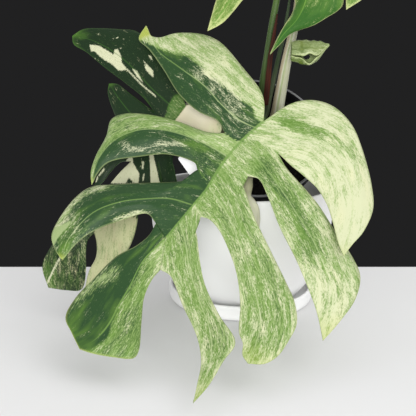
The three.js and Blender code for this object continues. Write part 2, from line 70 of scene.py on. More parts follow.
def smoothLine(points, parts, dims=3, fineness=25):
    # a curve through all the points that doesn't overshoot, read at the given parts of its length
    pts = np.array(points, float)
    full = np.vstack([2 * pts[0] - pts[1], pts, 2 * pts[-1] - pts[-2]])
    fine = []
    for k in range(len(pts) - 1):
        p0, p1, p2, p3 = full[k:k + 4]
        d0, d1, d2 = [max(np.linalg.norm(b - a) ** 0.5, 1e-4) for a, b in ((p0, p1), (p1, p2), (p2, p3))]
        m1 = ((p1 - p0) / d0 - (p2 - p0) / (d0 + d1) + (p2 - p1) / d1) * d1
        m2 = ((p2 - p1) / d1 - (p3 - p1) / (d1 + d2) + (p3 - p2) / d2) * d1
        s = np.linspace(0, 1, fineness)[:, None]
        if k < len(pts) - 2:
            s = s[:-1]
        fine.append((2 * s ** 3 - 3 * s ** 2 + 1) * p1 + (s ** 3 - 2 * s ** 2 + s) * m1
                    + (3 * s ** 2 - 2 * s ** 3) * p2 + (s ** 3 - s ** 2) * m2)
    fine = np.vstack(fine)
    run = np.concatenate([[0], np.cumsum(np.linalg.norm(np.diff(fine, axis=0), axis=1))])
    want = np.asarray(parts) * run[-1]
    return np.stack([np.interp(want, run, fine[:, i]) for i in range(dims)], axis=1)


def lengthOf(line):
    return float(np.sum(np.linalg.norm(np.diff(line, axis=0), axis=1)))


def rounded(profile, radius=1.2, cuts=4):
    # softens every corner of a profile with a short arc
    out = []
    n = len(profile)
    for i, p in enumerate(profile):
        p = np.array(p, float)
        if p[0] < 1e-6:
            out.append(tuple(p))
            continue
        a = np.array(profile[i - 1], float) - p
        b = np.array(profile[(i + 1) % n], float) - p
        la, lb = np.linalg.norm(a), np.linalg.norm(b)
        r = min(radius, la * 0.45, lb * 0.45)
        for k in range(cuts + 1):
            s = k / cuts
            q = (1 - s) ** 2 * (p + a / la * r) + 2 * s * (1 - s) * p + s ** 2 * (p + b / lb * r)
            out.append((float(q[0]), float(q[1])))
    return out


def revolved(profile, steps=128, closed=True):
    bm = bmesh.new()
    verts = [bm.verts.new((r * mm, 0, z * mm)) for r, z in profile]
    pairs = list(zip(verts, verts[1:]))
    if closed:
        pairs.append((verts[-1], verts[0]))
    edges = [bm.edges.new(pair) for pair in pairs]
    bmesh.ops.spin(bm, geom=verts + edges, cent=(0, 0, 0), axis=(0, 0, 1), angle=2 * math.pi,
                   steps=steps, use_merge=True, use_normal_flip=False)
    bmesh.ops.remove_doubles(bm, verts=bm.verts, dist=1e-6)
    bmesh.ops.dissolve_degenerate(bm, edges=bm.edges, dist=1e-7)
    bmesh.ops.recalc_face_normals(bm, faces=bm.faces)
    return bm


# shading
def material(name, color, rough, spec=0.5):
    mat = bpy.data.materials.new(name)
    mat.use_nodes = True
    bsdf = mat.node_tree.nodes["Principled BSDF"]
    bsdf.inputs["Base Color"].default_value = (*color, 1)
    bsdf.inputs["Roughness"].default_value = rough
    bsdf.inputs["Specular IOR Level"].default_value = spec
    return mat, mat.node_tree, bsdf


def link(tree, a, b):
    tree.links.new(a, b)


def node(tree, kind, **values):
    n = tree.nodes.new(kind)
    for key, value in values.items():
        if hasattr(n, key):
            setattr(n, key, value)
        else:
            n.inputs[key].default_value = value
    return n


def calc(tree, op, a, b, clamp=False):
    n = node(tree, "ShaderNodeMath", operation=op, use_clamp=clamp)
    for i, value in enumerate((a, b)):
        if isinstance(value, (int, float)):
            n.inputs[i].default_value = value
        else:
            link(tree, value, n.inputs[i])
    return n.outputs[0]


def blended(tree, share, a, b):
    # colour a where the share is 0, colour b where it is 1
    n = node(tree, "ShaderNodeMix", data_type="RGBA")
    link(tree, share, n.inputs[0])
    for i, value in ((6, a), (7, b)):
        if isinstance(value, tuple):
            n.inputs[i].default_value = (*value, 1)
        else:
            link(tree, value, n.inputs[i])
    return n.outputs[2]


def twoTone(tree, fac, lowAt, low, highAt, high):
    ramp = node(tree, "ShaderNodeValToRGB")
    for stop, at, tone in zip(ramp.color_ramp.elements, (lowAt, highAt), (low, high)):
        stop.position = at
        stop.color = (*tone, 1)
    link(tree, fac, ramp.inputs["Fac"])
    return ramp.outputs["Color"]


def pressed(tree, bsdf, height, strength, depth=0.002):
    bump = node(tree, "ShaderNodeBump", Strength=strength, Distance=depth)
    link(tree, height, bump.inputs["Height"])
    link(tree, bump.outputs[0], bsdf.inputs["Normal"])


def grainOf(tree, scale, detail, rough=0.5):
    coord = node(tree, "ShaderNodeTexCoord")
    grain = node(tree, "ShaderNodeTexNoise", Scale=scale, Detail=detail, Roughness=rough)
    link(tree, coord.outputs["Object"], grain.inputs["Vector"])
    return grain.outputs["Fac"]


def streak(tree, uvs, scaleX, scaleY, detail, rough, shift=0.0):
    # noise drawn out along one side of a UV map
    place = node(tree, "ShaderNodeMapping")
    place.inputs["Scale"].default_value = (scaleX, scaleY, 1.0)
    place.inputs["Location"].default_value = (shift, shift * 0.7, 0.0)
    tex = node(tree, "ShaderNodeTexNoise", Scale=1.0, Detail=detail, Roughness=rough)
    link(tree, uvs, place.inputs["Vector"])
    link(tree, place.outputs[0], tex.inputs["Vector"])
    return tex.outputs["Fac"]


# camera
shot = {"pos": (-30.5, -502.4, 194.8), "pitch": 12.5, "lens": 48.46, "film": 36, "near": 0.01, "far": 50}
camData = bpy.data.cameras.new("photoCamera")
camera = bpy.data.objects.new("photoCamera", camData)
scene.collection.objects.link(camera)
camera.location = Vector(shot["pos"]) * mm
camera.rotation_euler = (math.radians(90 - shot["pitch"]), 0, 0)
camData.lens = shot["lens"]
camData.sensor_width = shot["film"]
camData.clip_start = shot["near"]
camData.clip_end = shot["far"]
scene.camera = camera

# table top, in metres; its back edge is the line behind the pot
table = {"front": -4.0, "back": 0.0795, "side": 4.0, "deep": 0.04, "paint": (0.76, 0.76, 0.76)}
bm = bmesh.new()
bmesh.ops.create_cube(bm, size=1)
for v in bm.verts:
    v.co.x *= 2 * table["side"]
    v.co.y = table["back"] if v.co.y > 0 else table["front"]
    v.co.z = 0 if v.co.z > 0 else -table["deep"]
mesh = bpy.data.meshes.new("tableTop")
bm.to_mesh(mesh)
bm.free()
floor = bpy.data.objects.new("tableTop", mesh)
scene.collection.objects.link(floor)
mesh.materials.append(material("tablePaint", table["paint"], 0.55, 0.3)[0])

# light: three soft lamps and an even sky that the camera sees as a dark wall
lamps = {
    "keyLight": {"spot": (0.85, -0.75, 1.15), "aim": (0, -0.05, 0.12), "size": (1.0, 1.0), "power": 6},
    "frontLight": {"spot": (-0.25, -1.7, 0.42), "aim": (0, 0, 0.1), "size": (1.6, 0.7), "power": 30},
    "topLight": {"spot": (0.0, 0.1, 1.7), "aim": (0, -0.05, 0.1), "size": (1.6, 1.2), "power": 2},
}
for name, lamp in lamps.items():
    data = bpy.data.lights.new(name, "AREA")
    data.shape = "RECTANGLE"
    data.size, data.size_y = lamp["size"]
    data.energy = lamp["power"]
    obj = bpy.data.objects.new(name, data)
    scene.collection.objects.link(obj)
    obj.location = lamp["spot"]
    towards = Vector(lamp["aim"]) - Vector(lamp["spot"])
    obj.rotation_euler = towards.to_track_quat("-Z", "Y").to_euler()

studio = {"sky": (1, 1, 1), "skyPower": 0.66, "wall": (0.0152, 0.0152, 0.0156)}
world = bpy.data.worlds.new("studio")
scene.world = world
world.use_nodes = True
tree = world.node_tree
tree.nodes.clear()
out = node(tree, "ShaderNodeOutputWorld")
mixer = node(tree, "ShaderNodeMixShader")
path = node(tree, "ShaderNodeLightPath")
brightSky = node(tree, "ShaderNodeBackground", Strength=studio["skyPower"])
brightSky.inputs["Color"].default_value = (*studio["sky"], 1)
darkWall = node(tree, "ShaderNodeBackground", Strength=1.0)
darkWall.inputs["Color"].default_value = (*studio["wall"], 1)
link(tree, path.outputs["Is Camera Ray"], mixer.inputs[0])
link(tree, brightSky.outputs[0], mixer.inputs[1])
link(tree, darkWall.outputs[0], mixer.inputs[2])
link(tree, mixer.outputs[0], out.inputs[0])
print("camera, table and light ready")


# saucer
saucer = {"r": 67, "h": 14, "wall": 3.5, "floor": 4}
r, h = saucer["r"], saucer["h"]
inside = r - saucer["wall"]
profile = [(0, 0), (r - 4, 0), (r - 1.2, 1.6), (r, 4.5), (r, h - 1.4), (r - 0.6, h - 0.3), (r - 1.7, h),
           (inside + 0.6, h - 0.5), (inside, h - 1.6), (inside - 0.4, 5.5), (inside - 2, saucer["floor"]),
           (0, saucer["floor"])]
ceramic, tree, bsdf = material("whiteCeramic", (0.88, 0.88, 0.875), 0.32)
pressed(tree, bsdf, grainOf(tree, 60.0, 2.0), 0.05)
finished("saucerBody", revolved(rounded(profile), closed=False), [ceramic], ["saucer"])

# outer pot: straight wall above, big round bottom
pot = {"r": 82, "top": 106.5, "wall": 3.5, "base": 4.3, "drain": 6,
       "belly": [(50, 0), (53.5, 3.2), (57.4, 8), (62.8, 15.5), (68.3, 26), (73.6, 39), (78.2, 51), (81, 64),
                 (82, 78)]}
r, top, base, wall = pot["r"], pot["top"], pot["base"], pot["wall"]
belly = smoothLine(pot["belly"], np.linspace(0, 1, 40), 2)
lip = [(r, top - 1.2), (r - 0.5, top - 0.3), (r - 1.5, top), (r - 2.9, top - 0.4), (r - wall, top - 1.4)]
# the wall is a little thicker in the lowest 10 mm
inner = [(u - wall * (1.35 if v < 10 else 1.05), base + max(v, wall)) for u, v in belly if v > 3]
profile = [(pot["drain"], base)] + [(u, base + v) for u, v in belly] + lip
profile += inner[::-1] + [(pot["drain"], base + wall)]
finished("potBody", revolved(rounded(profile, 0.5, 2), 160), [ceramic], ["outer_pot"])
print("saucer and outer pot built")

# nursery pot, tipped forward; its profile is measured down from the mouth
nursery = {"mouth": (7.4, -37.6, 153.9), "axis": (0.046, -0.773, 0.633), "r": 58, "base": 41, "depth": 116,
           "wall": 1.6, "band": 14, "drain": 5, "lip": 1.6, "lipInside": 50}
axis = Vector(nursery["axis"]).normalized()
right = (Vector((1, 0, 0)) - axis * axis.x).normalized()
up = axis.cross(right)
turn = Matrix((right, up, axis)).transposed().to_4x4()
turn.translation = Vector(nursery["mouth"]) * mm


def inNursery(a, b, depth):
    return Vector(nursery["mouth"]) + right * a + up * b - axis * depth


r, foot, drain = nursery["r"], nursery["base"], nursery["drain"]
band, low = nursery["band"], -nursery["depth"]
profile = [(drain, low), (foot - 2, low), (foot, low + 2), (r - 3.3, -band - 1), (r - 0.8, -band), (r, -1),
           (r - 0.5, 0), (r - 1.9, -0.3), (r - 2.2, -band), (foot - 2, low + 4), (foot - 3.6, low + 2),
           (drain, low + 2)]
plastic, tree, bsdf = material("blackPlastic", (0.009, 0.009, 0.01), 0.5, 0.12)
pressed(tree, bsdf, grainOf(tree, 140.0, 3.0), 0.12)
# the rim's top gets a light grey plastic: a painted highlight on the black pot's lip
lipHighlightPlastic = material("plasticLipHighlight", (0.14, 0.14, 0.145), 0.35, 0.6)[0]
bm = revolved(rounded(profile, 0.6, 3))
# faces on top of the lip take the painted highlight
for f in bm.faces:
    spot = f.calc_center_median()
    onLip = spot.z > -nursery["lip"] * mm and spot.xy.length > nursery["lipInside"] * mm
    f.material_index = 1 if onLip else 0
bmesh.ops.transform(bm, matrix=turn, verts=bm.verts)
finished("nurseryTub", bm, [plastic, lipHighlightPlastic], ["nursery_pot"])

# soil, domed and lumpy on top, with loose grains
soil = {"deep": 108, "top": 20, "narrow": 0.76, "step": 0.6, "gap": 0.5, "dome": 0.4, "rings": 40,
        "lumps": 1.4, "grains": 420, "sizes": (0.6, 0.8, 1.0, 1.3, 1.9)}
taper = (nursery["r"] - nursery["base"]) / nursery["depth"]
soilR = nursery["r"] - nursery["wall"] - soil["step"] - taper * soil["top"] - soil["gap"]
top, dome, rings = soil["top"], soil["dome"], soil["rings"]
profile = [(0, -soil["deep"]), (soilR * soil["narrow"], -soil["deep"]), (soilR, -top - 1)]
profile += [(soilR * (1 - k / rings), -top + dome * min(1, k / 6)) for k in range(1, rings)]
profile.append((0, -top + dome))
bm = revolved(profile, 120, closed=False)
for v in bm.verts:
    if v.co.z > -(top + 0.5) * mm:
        p = v.co * 60
        v.co.z += (0.9 * noise.noise(p) + 0.5 * noise.noise(p * 3.1)) * mm * soil["lumps"]
soilMat, tree, bsdf = material("pottingSoil", (0.03, 0.022, 0.016), 0.9, 0.2)
grain = grainOf(tree, 420.0, 4.0, 0.7)
soilTone = twoTone(tree, grain, 0.35, (0.003, 0.003, 0.003), 0.72, (0.018, 0.014, 0.011))
link(tree, soilTone, bsdf.inputs["Base Color"])
pressed(tree, bsdf, grain, 0.8)
bmesh.ops.transform(bm, matrix=turn, verts=bm.verts)
finished("soilPlug", bm, [soilMat], ["soil"])
bm = bmesh.new()
for k in range(soil["grains"]):
    a = random.uniform(0, 2 * math.pi)
    away = soilR * math.sqrt(random.random()) * 0.97
    size = random.choice(soil["sizes"])
    spot = turn @ (Vector((away * math.cos(a), away * math.sin(a), 0.6 + 0.2 * size - top)) * mm)
    squash = Matrix.Diagonal((random.uniform(0.7, 1.4), random.uniform(0.6, 1.1), random.uniform(0.5, 1), 1))
    angle = random.uniform(0, 6.28)
    spin = Matrix.Rotation(angle, 4, Vector((random.random(), random.random(), 1)).normalized())
    bmesh.ops.create_icosphere(bm, subdivisions=1, radius=size * mm,
                               matrix=Matrix.Translation(spot) @ spin @ squash)
finished("soilGrains", bm, [soilMat], [], smooth=False)

# blank card between the pots
card = {"width": 13, "thick": 0.8, "height": 84, "corner": 1.5, "lean": 35, "spot": (-24.6, -70.6, 108)}
bm = bmesh.new()
bmesh.ops.create_cube(bm, size=1)
bmesh.ops.scale(bm, vec=Vector((card["width"], card["thick"], card["height"])) * mm, verts=bm.verts)
corners = [e for e in bm.edges if abs(e.verts[0].co.y - e.verts[1].co.y) > 1e-4]
bmesh.ops.bevel(bm, geom=corners, offset=card["corner"] * mm, offset_type="OFFSET", segments=5,
                profile=0.5, affect="EDGES", material=-1)
lean = Matrix.Rotation(math.radians(-card["lean"]), 3, "Y")
bmesh.ops.rotate(bm, cent=(0, 0, 0), matrix=lean, verts=bm.verts)
bmesh.ops.translate(bm, vec=Vector(card["spot"]) * mm, verts=bm.verts)
cardMat = material("labelCard", (0.78, 0.78, 0.77), 0.5, 0.4)[0]
finished("labelCard", bm, [cardMat], ["plant_label"], smooth=False)
print("nursery pot, soil and card built")


# stalks: a grid rolled up around a line; flat squeezes it, groove cuts a furrow, rough makes it uneven
def stalk(points, radii, sides=28, steps=120, flat=1.0, groove=0.0, rough=0.0):
    t = np.linspace(0, 1, steps + 1)
    line = smoothLine(points, t)
    total = lengthOf(line)
    across = Vector((1, 0, 0))
    rings = []
    for i in range(steps + 1):
        along = Vector(line[min(i + 1, steps)] - line[max(i - 1, 0)]).normalized()
        across = (across - along * across.dot(along)).normalized()
        rad = float(np.interp(t[i] * (len(radii) - 1), range(len(radii)), radii))
        rings.append((Vector(line[i]), across, along.cross(across), rad))
    bm = bmesh.new()
    uv = bm.loops.layers.uv.new("Run")
    bmesh.ops.create_grid(bm, x_segments=sides, y_segments=steps, size=0.5)
    for f in bm.faces:
        for loop in f.loops:
            x, y = loop.vert.co.x + 0.5, loop.vert.co.y + 0.5
            loop[uv].uv = (x, y * total / 100)
    for v in bm.verts:
        center, across, other, rad = rings[round((v.co.y + 0.5) * steps)]
        a = 2 * math.pi * (v.co.x + 0.5)
        k = rad * (1 - groove * math.exp(-((math.sin((a - 4.2) / 2)) / 0.22) ** 2))
        q = center * 0.16 + Vector((math.cos(a), math.sin(a), 0)) * 0.8
        k *= 1 + rough * noise.noise(q)
        v.co = (center + across * (k * math.cos(a)) + other * (k * flat * math.sin(a))) * mm
    bmesh.ops.remove_doubles(bm, verts=bm.verts, dist=1e-6)
    bmesh.ops.holes_fill(bm, edges=[e for e in bm.edges if e.is_boundary], sides=0)
    bmesh.ops.recalc_face_normals(bm, faces=bm.faces)
    return bm


def skin(name, low, high, stripe, rough=0.42, bands=(), upper=None):
    mat, tree, bsdf = material(name, low, rough, 0.15)
    uvs = node(tree, "ShaderNodeUVMap", uv_map="Run").outputs[0]
    fine = streak(tree, uvs, stripe, 3.0, 3.0, 0.6)
    color = twoTone(tree, fine, 0.35, low, 0.65, high)
    around = node(tree, "ShaderNodeSeparateXYZ")
    link(tree, uvs, around.inputs[0])
    for spot, wide, tone in bands:
        near = node(tree, "ShaderNodeMath", operation="COMPARE")
        link(tree, around.outputs["X"], near.inputs[0])
        near.inputs[1].default_value = spot
        near.inputs[2].default_value = wide
        color = blended(tree, calc(tree, "MULTIPLY", near.outputs[0], fine, clamp=True), color, tone)
    if upper:
        # another tone above a height, in metres
        start, end, tone = upper
        coord = node(tree, "ShaderNodeTexCoord")
        height = node(tree, "ShaderNodeSeparateXYZ")
        rise = node(tree, "ShaderNodeMapRange")
        rise.inputs["From Min"].default_value = start
        rise.inputs["From Max"].default_value = end
        link(tree, coord.outputs["Object"], height.inputs[0])
        link(tree, height.outputs["Z"], rise.inputs["Value"])
        color = blended(tree, rise.outputs["Result"], color, tone)
    link(tree, color, bsdf.inputs["Base Color"])
    pressed(tree, bsdf, fine, 0.2, 0.001)
    bsdf.inputs["Subsurface Weight"].default_value = 0.12
    bsdf.inputs["Subsurface Radius"].default_value = (0.004, 0.004, 0.002)
    return mat


creamSkin = skin("creamSkin", (0.15, 0.125, 0.075), (0.27, 0.26, 0.185), 6.0)
paleSkin = skin("paleSkin", (0.33, 0.34, 0.22), (0.47, 0.47, 0.37), 5.0,
                bands=[(0.56, 0.07, (0.26, 0.16, 0.09)), (0.70, 0.03, (0.16, 0.24, 0.05))])
greenSkin = skin("greenSkin", (0.028, 0.055, 0.014), (0.055, 0.09, 0.028), 7.0,
                 upper=(0.235, 0.275, (0.075, 0.13, 0.03)))
dullSkin = skin("dullSkin", (0.07, 0.095, 0.05), (0.11, 0.13, 0.075), 7.0, 0.6,
                upper=(0.185, 0.21, (0.034, 0.055, 0.024)))
# above 107 to 116 mm the root turns darker and browner: partly its own skin, partly painted shade where it
# runs under the front leaf
rootSkin = skin("rootSkin", (0.46, 0.46, 0.33), (0.62, 0.62, 0.48), 4.0, 0.7,
                upper=(0.107, 0.116, (0.26, 0.26, 0.16)))
drySkin = skin("drySkin", (0.01, 0.002, 0.001), (0.05, 0.011, 0.004), 6.0, 0.7)
# each stem starts in the soil at its root, a place across the nursery pot, and goes on along its path
rootDepths = (46, 33, 19, 13)
stems = {
    "mainStem": {
        "node": "main_stem", "root": (17.6, 17.4), "mat": paleSkin, "slot": "cream_stem", "groove": 0.1,
        "path": [(28, -20, 170), (29, -27, 182), (30, -35, 195), (32, -42, 213), (35, -48, 231),
                 (38, -50, 250), (39.5, -45, 268), (40, -36, 287), (40, -27, 302)],
        "radii": (5.4, 5.4, 5.2, 4.6, 3.9, 3.4, 3, 2.6, 1)},
    "stemSheath": {
        "node": "stem_sheath", "root": (10.6, 23.2), "mat": dullSkin, "slot": "green_stem", "groove": 0.15,
        "path": [(20, -12, 170), (21.4, -19, 182), (23.2, -27, 195), (26, -33.5, 213), (29, -39.5, 230),
                 (32.2, -44, 254), (34, -42, 270)],
        "radii": (2.3, 2.3, 2.3, 2.2, 2, 1.8, 1.5, 1.1, 0.6)},
    "petioleTop": {
        "node": "petiole_top", "root": (3.4, 17), "mat": greenSkin, "slot": "green_stem", "groove": 0.12,
        "path": [(12.5, -18, 170), (13.6, -25, 182), (14, -32, 194), (16.6, -40, 217), (19, -44, 236),
                 (22.5, -46, 258), (29, -35, 290), (38, -21, 316), (52, -8, 330), (60, -6.5, 333.5),
                 (61.3, -15.4, 338.5)],
        "radii": (3, 3, 2.9, 2.7, 2.6, 2.5, 2.5, 2.6, 2.6)},
    "petioleFront": {
        "node": "petiole_front", "root": (3, -2), "mat": greenSkin, "slot": "green_stem", "groove": 0.1,
        "path": [(9, -34, 148), (10, -48, 158), (11.4, -60, 166.5), (11.9, -66.2, 167.6)],
        "radii": (4.2, 4.2, 4, 3.6, 3.2, 2.8)},
    "petioleLeft": {
        "node": "petiole_left", "root": (-14, 6), "mat": creamSkin, "slot": "cream_stem", "groove": 0.06,
        "path": [(-9, -32, 146), (-15, -37, 155), (-24, -39, 164), (-35, -36, 171.5), (-43, -31, 174.5),
                 (-47.8, -33.6, 176.8)],
        "radii": (5, 5, 5, 5, 6.6, 7.4, 7.2, 6, 4.4)},
    "aerialRoot": {
        "node": "aerial_root", "root": (-2, -22), "mat": rootSkin, "slot": "root_skin", "rough": 0.1,
        "path": [(4, -56, 130), (2, -68, 128), (-0.5, -79, 126.5), (-1.5, -87, 120), (-2.6, -91, 112),
                 (2.7, -91.5, 104), (4.2, -91.3, 97), (3.6, -91, 88), (3, -91, 64)],
        "radii": (4.2, 4.2, 4.4, 4.6, 4.4, 4.8, 5, 4.6, 3)},
}
for name, stem in stems.items():
    a, b = stem["root"]
    path = [inNursery(a, b, depth) for depth in rootDepths] + [Vector(p) for p in stem["path"]]
    bm = stalk(path, stem["radii"], groove=stem.get("groove", 0), rough=stem.get("rough", 0.015))
    finished(name, bm, [stem["mat"]], [stem["node"]])

# dry strip along the green stalk
sheath = {"path": [(17, -34.5, 178), (17.4, -40, 192), (18.4, -46.5, 213), (20.4, -50, 231),
                   (22.6, -51.6, 247)],
          "radii": (2.2, 2.4, 2, 1.5, 0.6), "sides": 20, "steps": 80, "flat": 0.45, "rough": 0.1}
bm = stalk(sheath["path"], sheath["radii"], sheath["sides"], sheath["steps"], sheath["flat"],
           rough=sheath["rough"])
finished("drySheath", bm, [drySkin], ["dried_sheath"])
print("stems and root built")


# leaf blades are drawn in the leaf's own plane: u along the midrib, v across it, in mm
# A lobe runs from stations on the midrib to its tip, between its margins a and b and along its vein.
# In a lobe, t goes from 0 at the midrib to 1 at the tip, and w from -1 on margin a to 1 on margin b.
# Its keel raises its middle, its lift raises the tip, and its wave ripples the margins.
paintTags = ("cream", "dark", "mint", "patch", "gold")
lineTags = ("rib", "vein", "edge")
noPatch = -3
farAway = 9
blade = {"rows": 80, "joinedRows": 16, "joinedPart": 0.2, "perStation": 6, "fanCols": 28, "lastStation": 16,
         "wall": 0.9, "blendPart": 0.09, "tipPart": 0.8, "edgeReach": 8, "paintReach": 30, "lobesApart": 7.3,
         "ribRise": 0.35, "ribValley": 1.1, "veinRise": 0.2, "veinValley": 0.9, "folds": 0.12}


def stationsFor(size):
    return [u * size for u in (0, 4, 8, 12.5, 17, 25, 33, 40, 48, 58, 68, 77, 86, 94, 102, 110, 118)]


def leafFrame(base, along, facing):
    u = Vector(along).normalized()
    n = Vector(facing)
    n = (n - u * n.dot(u)).normalized()
    return Vector(base), u, n.cross(u), n


def fade(d, wide):
    return math.exp(-(d / wide) ** 2)


def step(x, a, b):
    k = max(0.0, min(1.0, (x - a) / (b - a)))
    return k * k * (3 - 2 * k)


def ribLine(leaf, u):
    # the midrib sways sideways over the first 0.6 of its length
    swayed = 0.6 * leaf["stations"][-1]
    return leaf["sway"] * math.sin(math.pi * min(1, max(0, u) / swayed))


def ribPoint(leaf, x):
    st = leaf["stations"]
    i = min(int(x), blade["lastStation"] - 1)
    u = st[i] + (st[i + 1] - st[i]) * (x - i)
    return np.array([u, ribLine(leaf, u)])


def rowParts():
    # the part of a lobe's length at each row, and how far the row is past the joined ones
    rows, joined, part = blade["rows"], blade["joinedRows"], blade["joinedPart"]
    free = np.array([max(0, (i - joined) / (rows - joined)) for i in range(rows + 1)])
    whole = np.array([part * min(i, joined) / joined for i in range(rows + 1)]) + (1 - part) * free
    return whole, free


def marginLine(start, pts, ts, frees, slit):
    if not slit:
        return smoothLine([tuple(start)] + pts, ts, 2)
    # beside a slit, the joined rows go straight from the midrib to the slit's end
    line = smoothLine(pts, frees, 2)
    joined = blade["joinedRows"]
    for i in range(joined + 1):
        line[i] = start + (np.array(pts[0]) - start) * i / joined
    return line


def heightOf(leaf, lobe, u, v, t, w, free):
    # the blade's large bends
    h = leaf["bend"](u, v)
    h += lobe["keel"] * (1 - w * w) * math.sin(math.pi * t)
    h += lobe["lift"] * free * free
    h += lobe["wave"] * w * w * math.sin(2 * math.pi * lobe["waves"] * free + w) * math.sin(math.pi * free)
    return h


def reliefOf(t, w, off, spine, thick, pastBase, fan):
    # midrib, the lobe's own vein and parallel folds
    slim = max(0.15, 1 - t)
    flank = 1 - w * w
    h = blade["folds"] * slim * math.cos(15 * w) * min(1, t * 4) * flank
    if pastBase:
        h += blade["ribRise"] * thick * fade(spine, 0.6 + 1.1 * thick)
        h -= blade["ribValley"] * thick * fade(spine, 8)
    if not fan:
        h += blade["veinRise"] * fade(off, 0.5 + 0.7 * slim) * min(1, 1.6 * slim) * min(1, t * 12)
        h -= blade["veinValley"] * slim * min(1, t * 6) * fade(off, 6) * flank
    return h


def bladeMesh(leaf, place, paint):
    base, du, dv, dn = place
    rows, per, last = blade["rows"], blade["perStation"], leaf["stations"][-1]
    ts, frees = rowParts()
    bm = bmesh.new()
    runs = bm.loops.layers.uv.new("Run")
    tags = {key: bm.verts.layers.float.new(key) for key in paintTags + lineTags}
    runX = bm.verts.layers.float.new("runX")
    runY = bm.verts.layers.float.new("runY")
    for number, lobe in enumerate(leaf["lobes"]):
        start, middle, end = lobe["stations"]
        fan = start == end
        cols = blade["fanCols"] if fan else (end - start) * per
        mid = cols // 2 if fan else (middle - start) * per
        openA = lobe.get("freeA")
        plain = number in leaf.get("plain", ())
        sideA = marginLine(ribPoint(leaf, start), lobe["a"] + [lobe["tip"]], ts, frees, not openA)
        sideB = marginLine(ribPoint(leaf, end), lobe["b"] + [lobe["tip"]], ts, frees, True)
        ridge = marginLine(ribPoint(leaf, middle), lobe["vein"] + [lobe["tip"]], ts, frees, False)
        ridgeLen = lengthOf(ridge)
        made = bmesh.ops.create_grid(bm, x_segments=cols, y_segments=rows, size=0.5)
        for vert in made["verts"]:
            j = round((vert.co.x + 0.5) * cols)
            i = round((vert.co.y + 0.5) * rows)
            w = j / mid - 1 if j <= mid else (j - mid) / (cols - mid)
            t, free = ts[i], frees[i]
            side = sideA if w < 0 else sideB
            p = ridge[i] + (side[i] - ridge[i]) * abs(w)
            if not fan:
                # at the midrib the rows end on its line, not on the chord between the stations
                chord = ridge[0] + (side[0] - ridge[0]) * abs(w)
                p = p + (ribPoint(leaf, start + j / per) - chord) * max(0, 1 - t / blade["blendPart"]) ** 2
            u, v = float(p[0]), float(p[1])
            half = float(np.linalg.norm(side[i] - ridge[i]))
            nearTip = max(0, t - blade["tipPart"])
            off = abs(w) * half
            spine = abs(v - ribLine(leaf, u)) if u < last else 99
            if fan:
                spine = off + 6 * nearTip
            slim = max(0.15, 1 - t)
            thick = max(0.25, 1 - max(0, u) / (last * 1.75))
            h = heightOf(leaf, lobe, u, v, t, w, free) + reliefOf(t, w, off, spine, thick, u > -3, fan)
            openHere = free > 0 or (openA and w < 0)
            vert[tags["edge"]] = min(half - off, blade["edgeReach"]) if openHere else blade["edgeReach"]
            vert[tags["rib"]] = min(farAway, spine / (0.4 + 0.55 * thick))
            vert[tags["vein"]] = min(farAway, off / (0.28 + 0.3 * slim) + 4 * nearTip)
            if plain:
                vert[tags["rib"]] = farAway
            if plain or fan:
                vert[tags["vein"]] = farAway
            tints = paint(number, t, w, u, v, min(half - off, blade["paintReach"]))
            for key in paintTags:
                vert[tags[key]] = tints.get(key, noPatch if key == "patch" else 0)
            # where the streaks run: along the lobe, or as its paint says; no two lobes share a place
            along, across = tints.get("hang", (t * ridgeLen, math.copysign(off, w)))
            vert[runX] = along / 10
            vert[runY] = number * blade["lobesApart"] + across / 10
            vert.co = (base + du * u + dv * v + dn * float(h)) * mm
        fresh = list({f for vert in made["verts"] for f in vert.link_faces})
        for f in fresh:
            f.normal_update()
        if sum(f.normal.dot(dn) for f in fresh) < 0:
            bmesh.ops.reverse_faces(bm, faces=fresh)
        for f in fresh:
            for loop in f.loops:
                loop[runs].uv = (loop.vert[runX], loop.vert[runY])
    bmesh.ops.remove_doubles(bm, verts=bm.verts, dist=2e-6)
    bmesh.ops.dissolve_degenerate(bm, edges=bm.edges, dist=1e-6)
    return bm


# noises over a blade: scale along the lobe and across it, detail, roughness, shift
streaks = {"long": (1.1, 6.5, 5.0, 0.72, 3.1), "fleck": (5.2, 14.0, 5.0, 0.75, 11.0),
           "veil": (1.9, 8.0, 5.0, 0.75, 41.0), "cloud": (0.4, 1.1, 2.0, 0.5, 27.0),
           "clump": (0.6, 2.2, 2.0, 0.5, 63.0)}


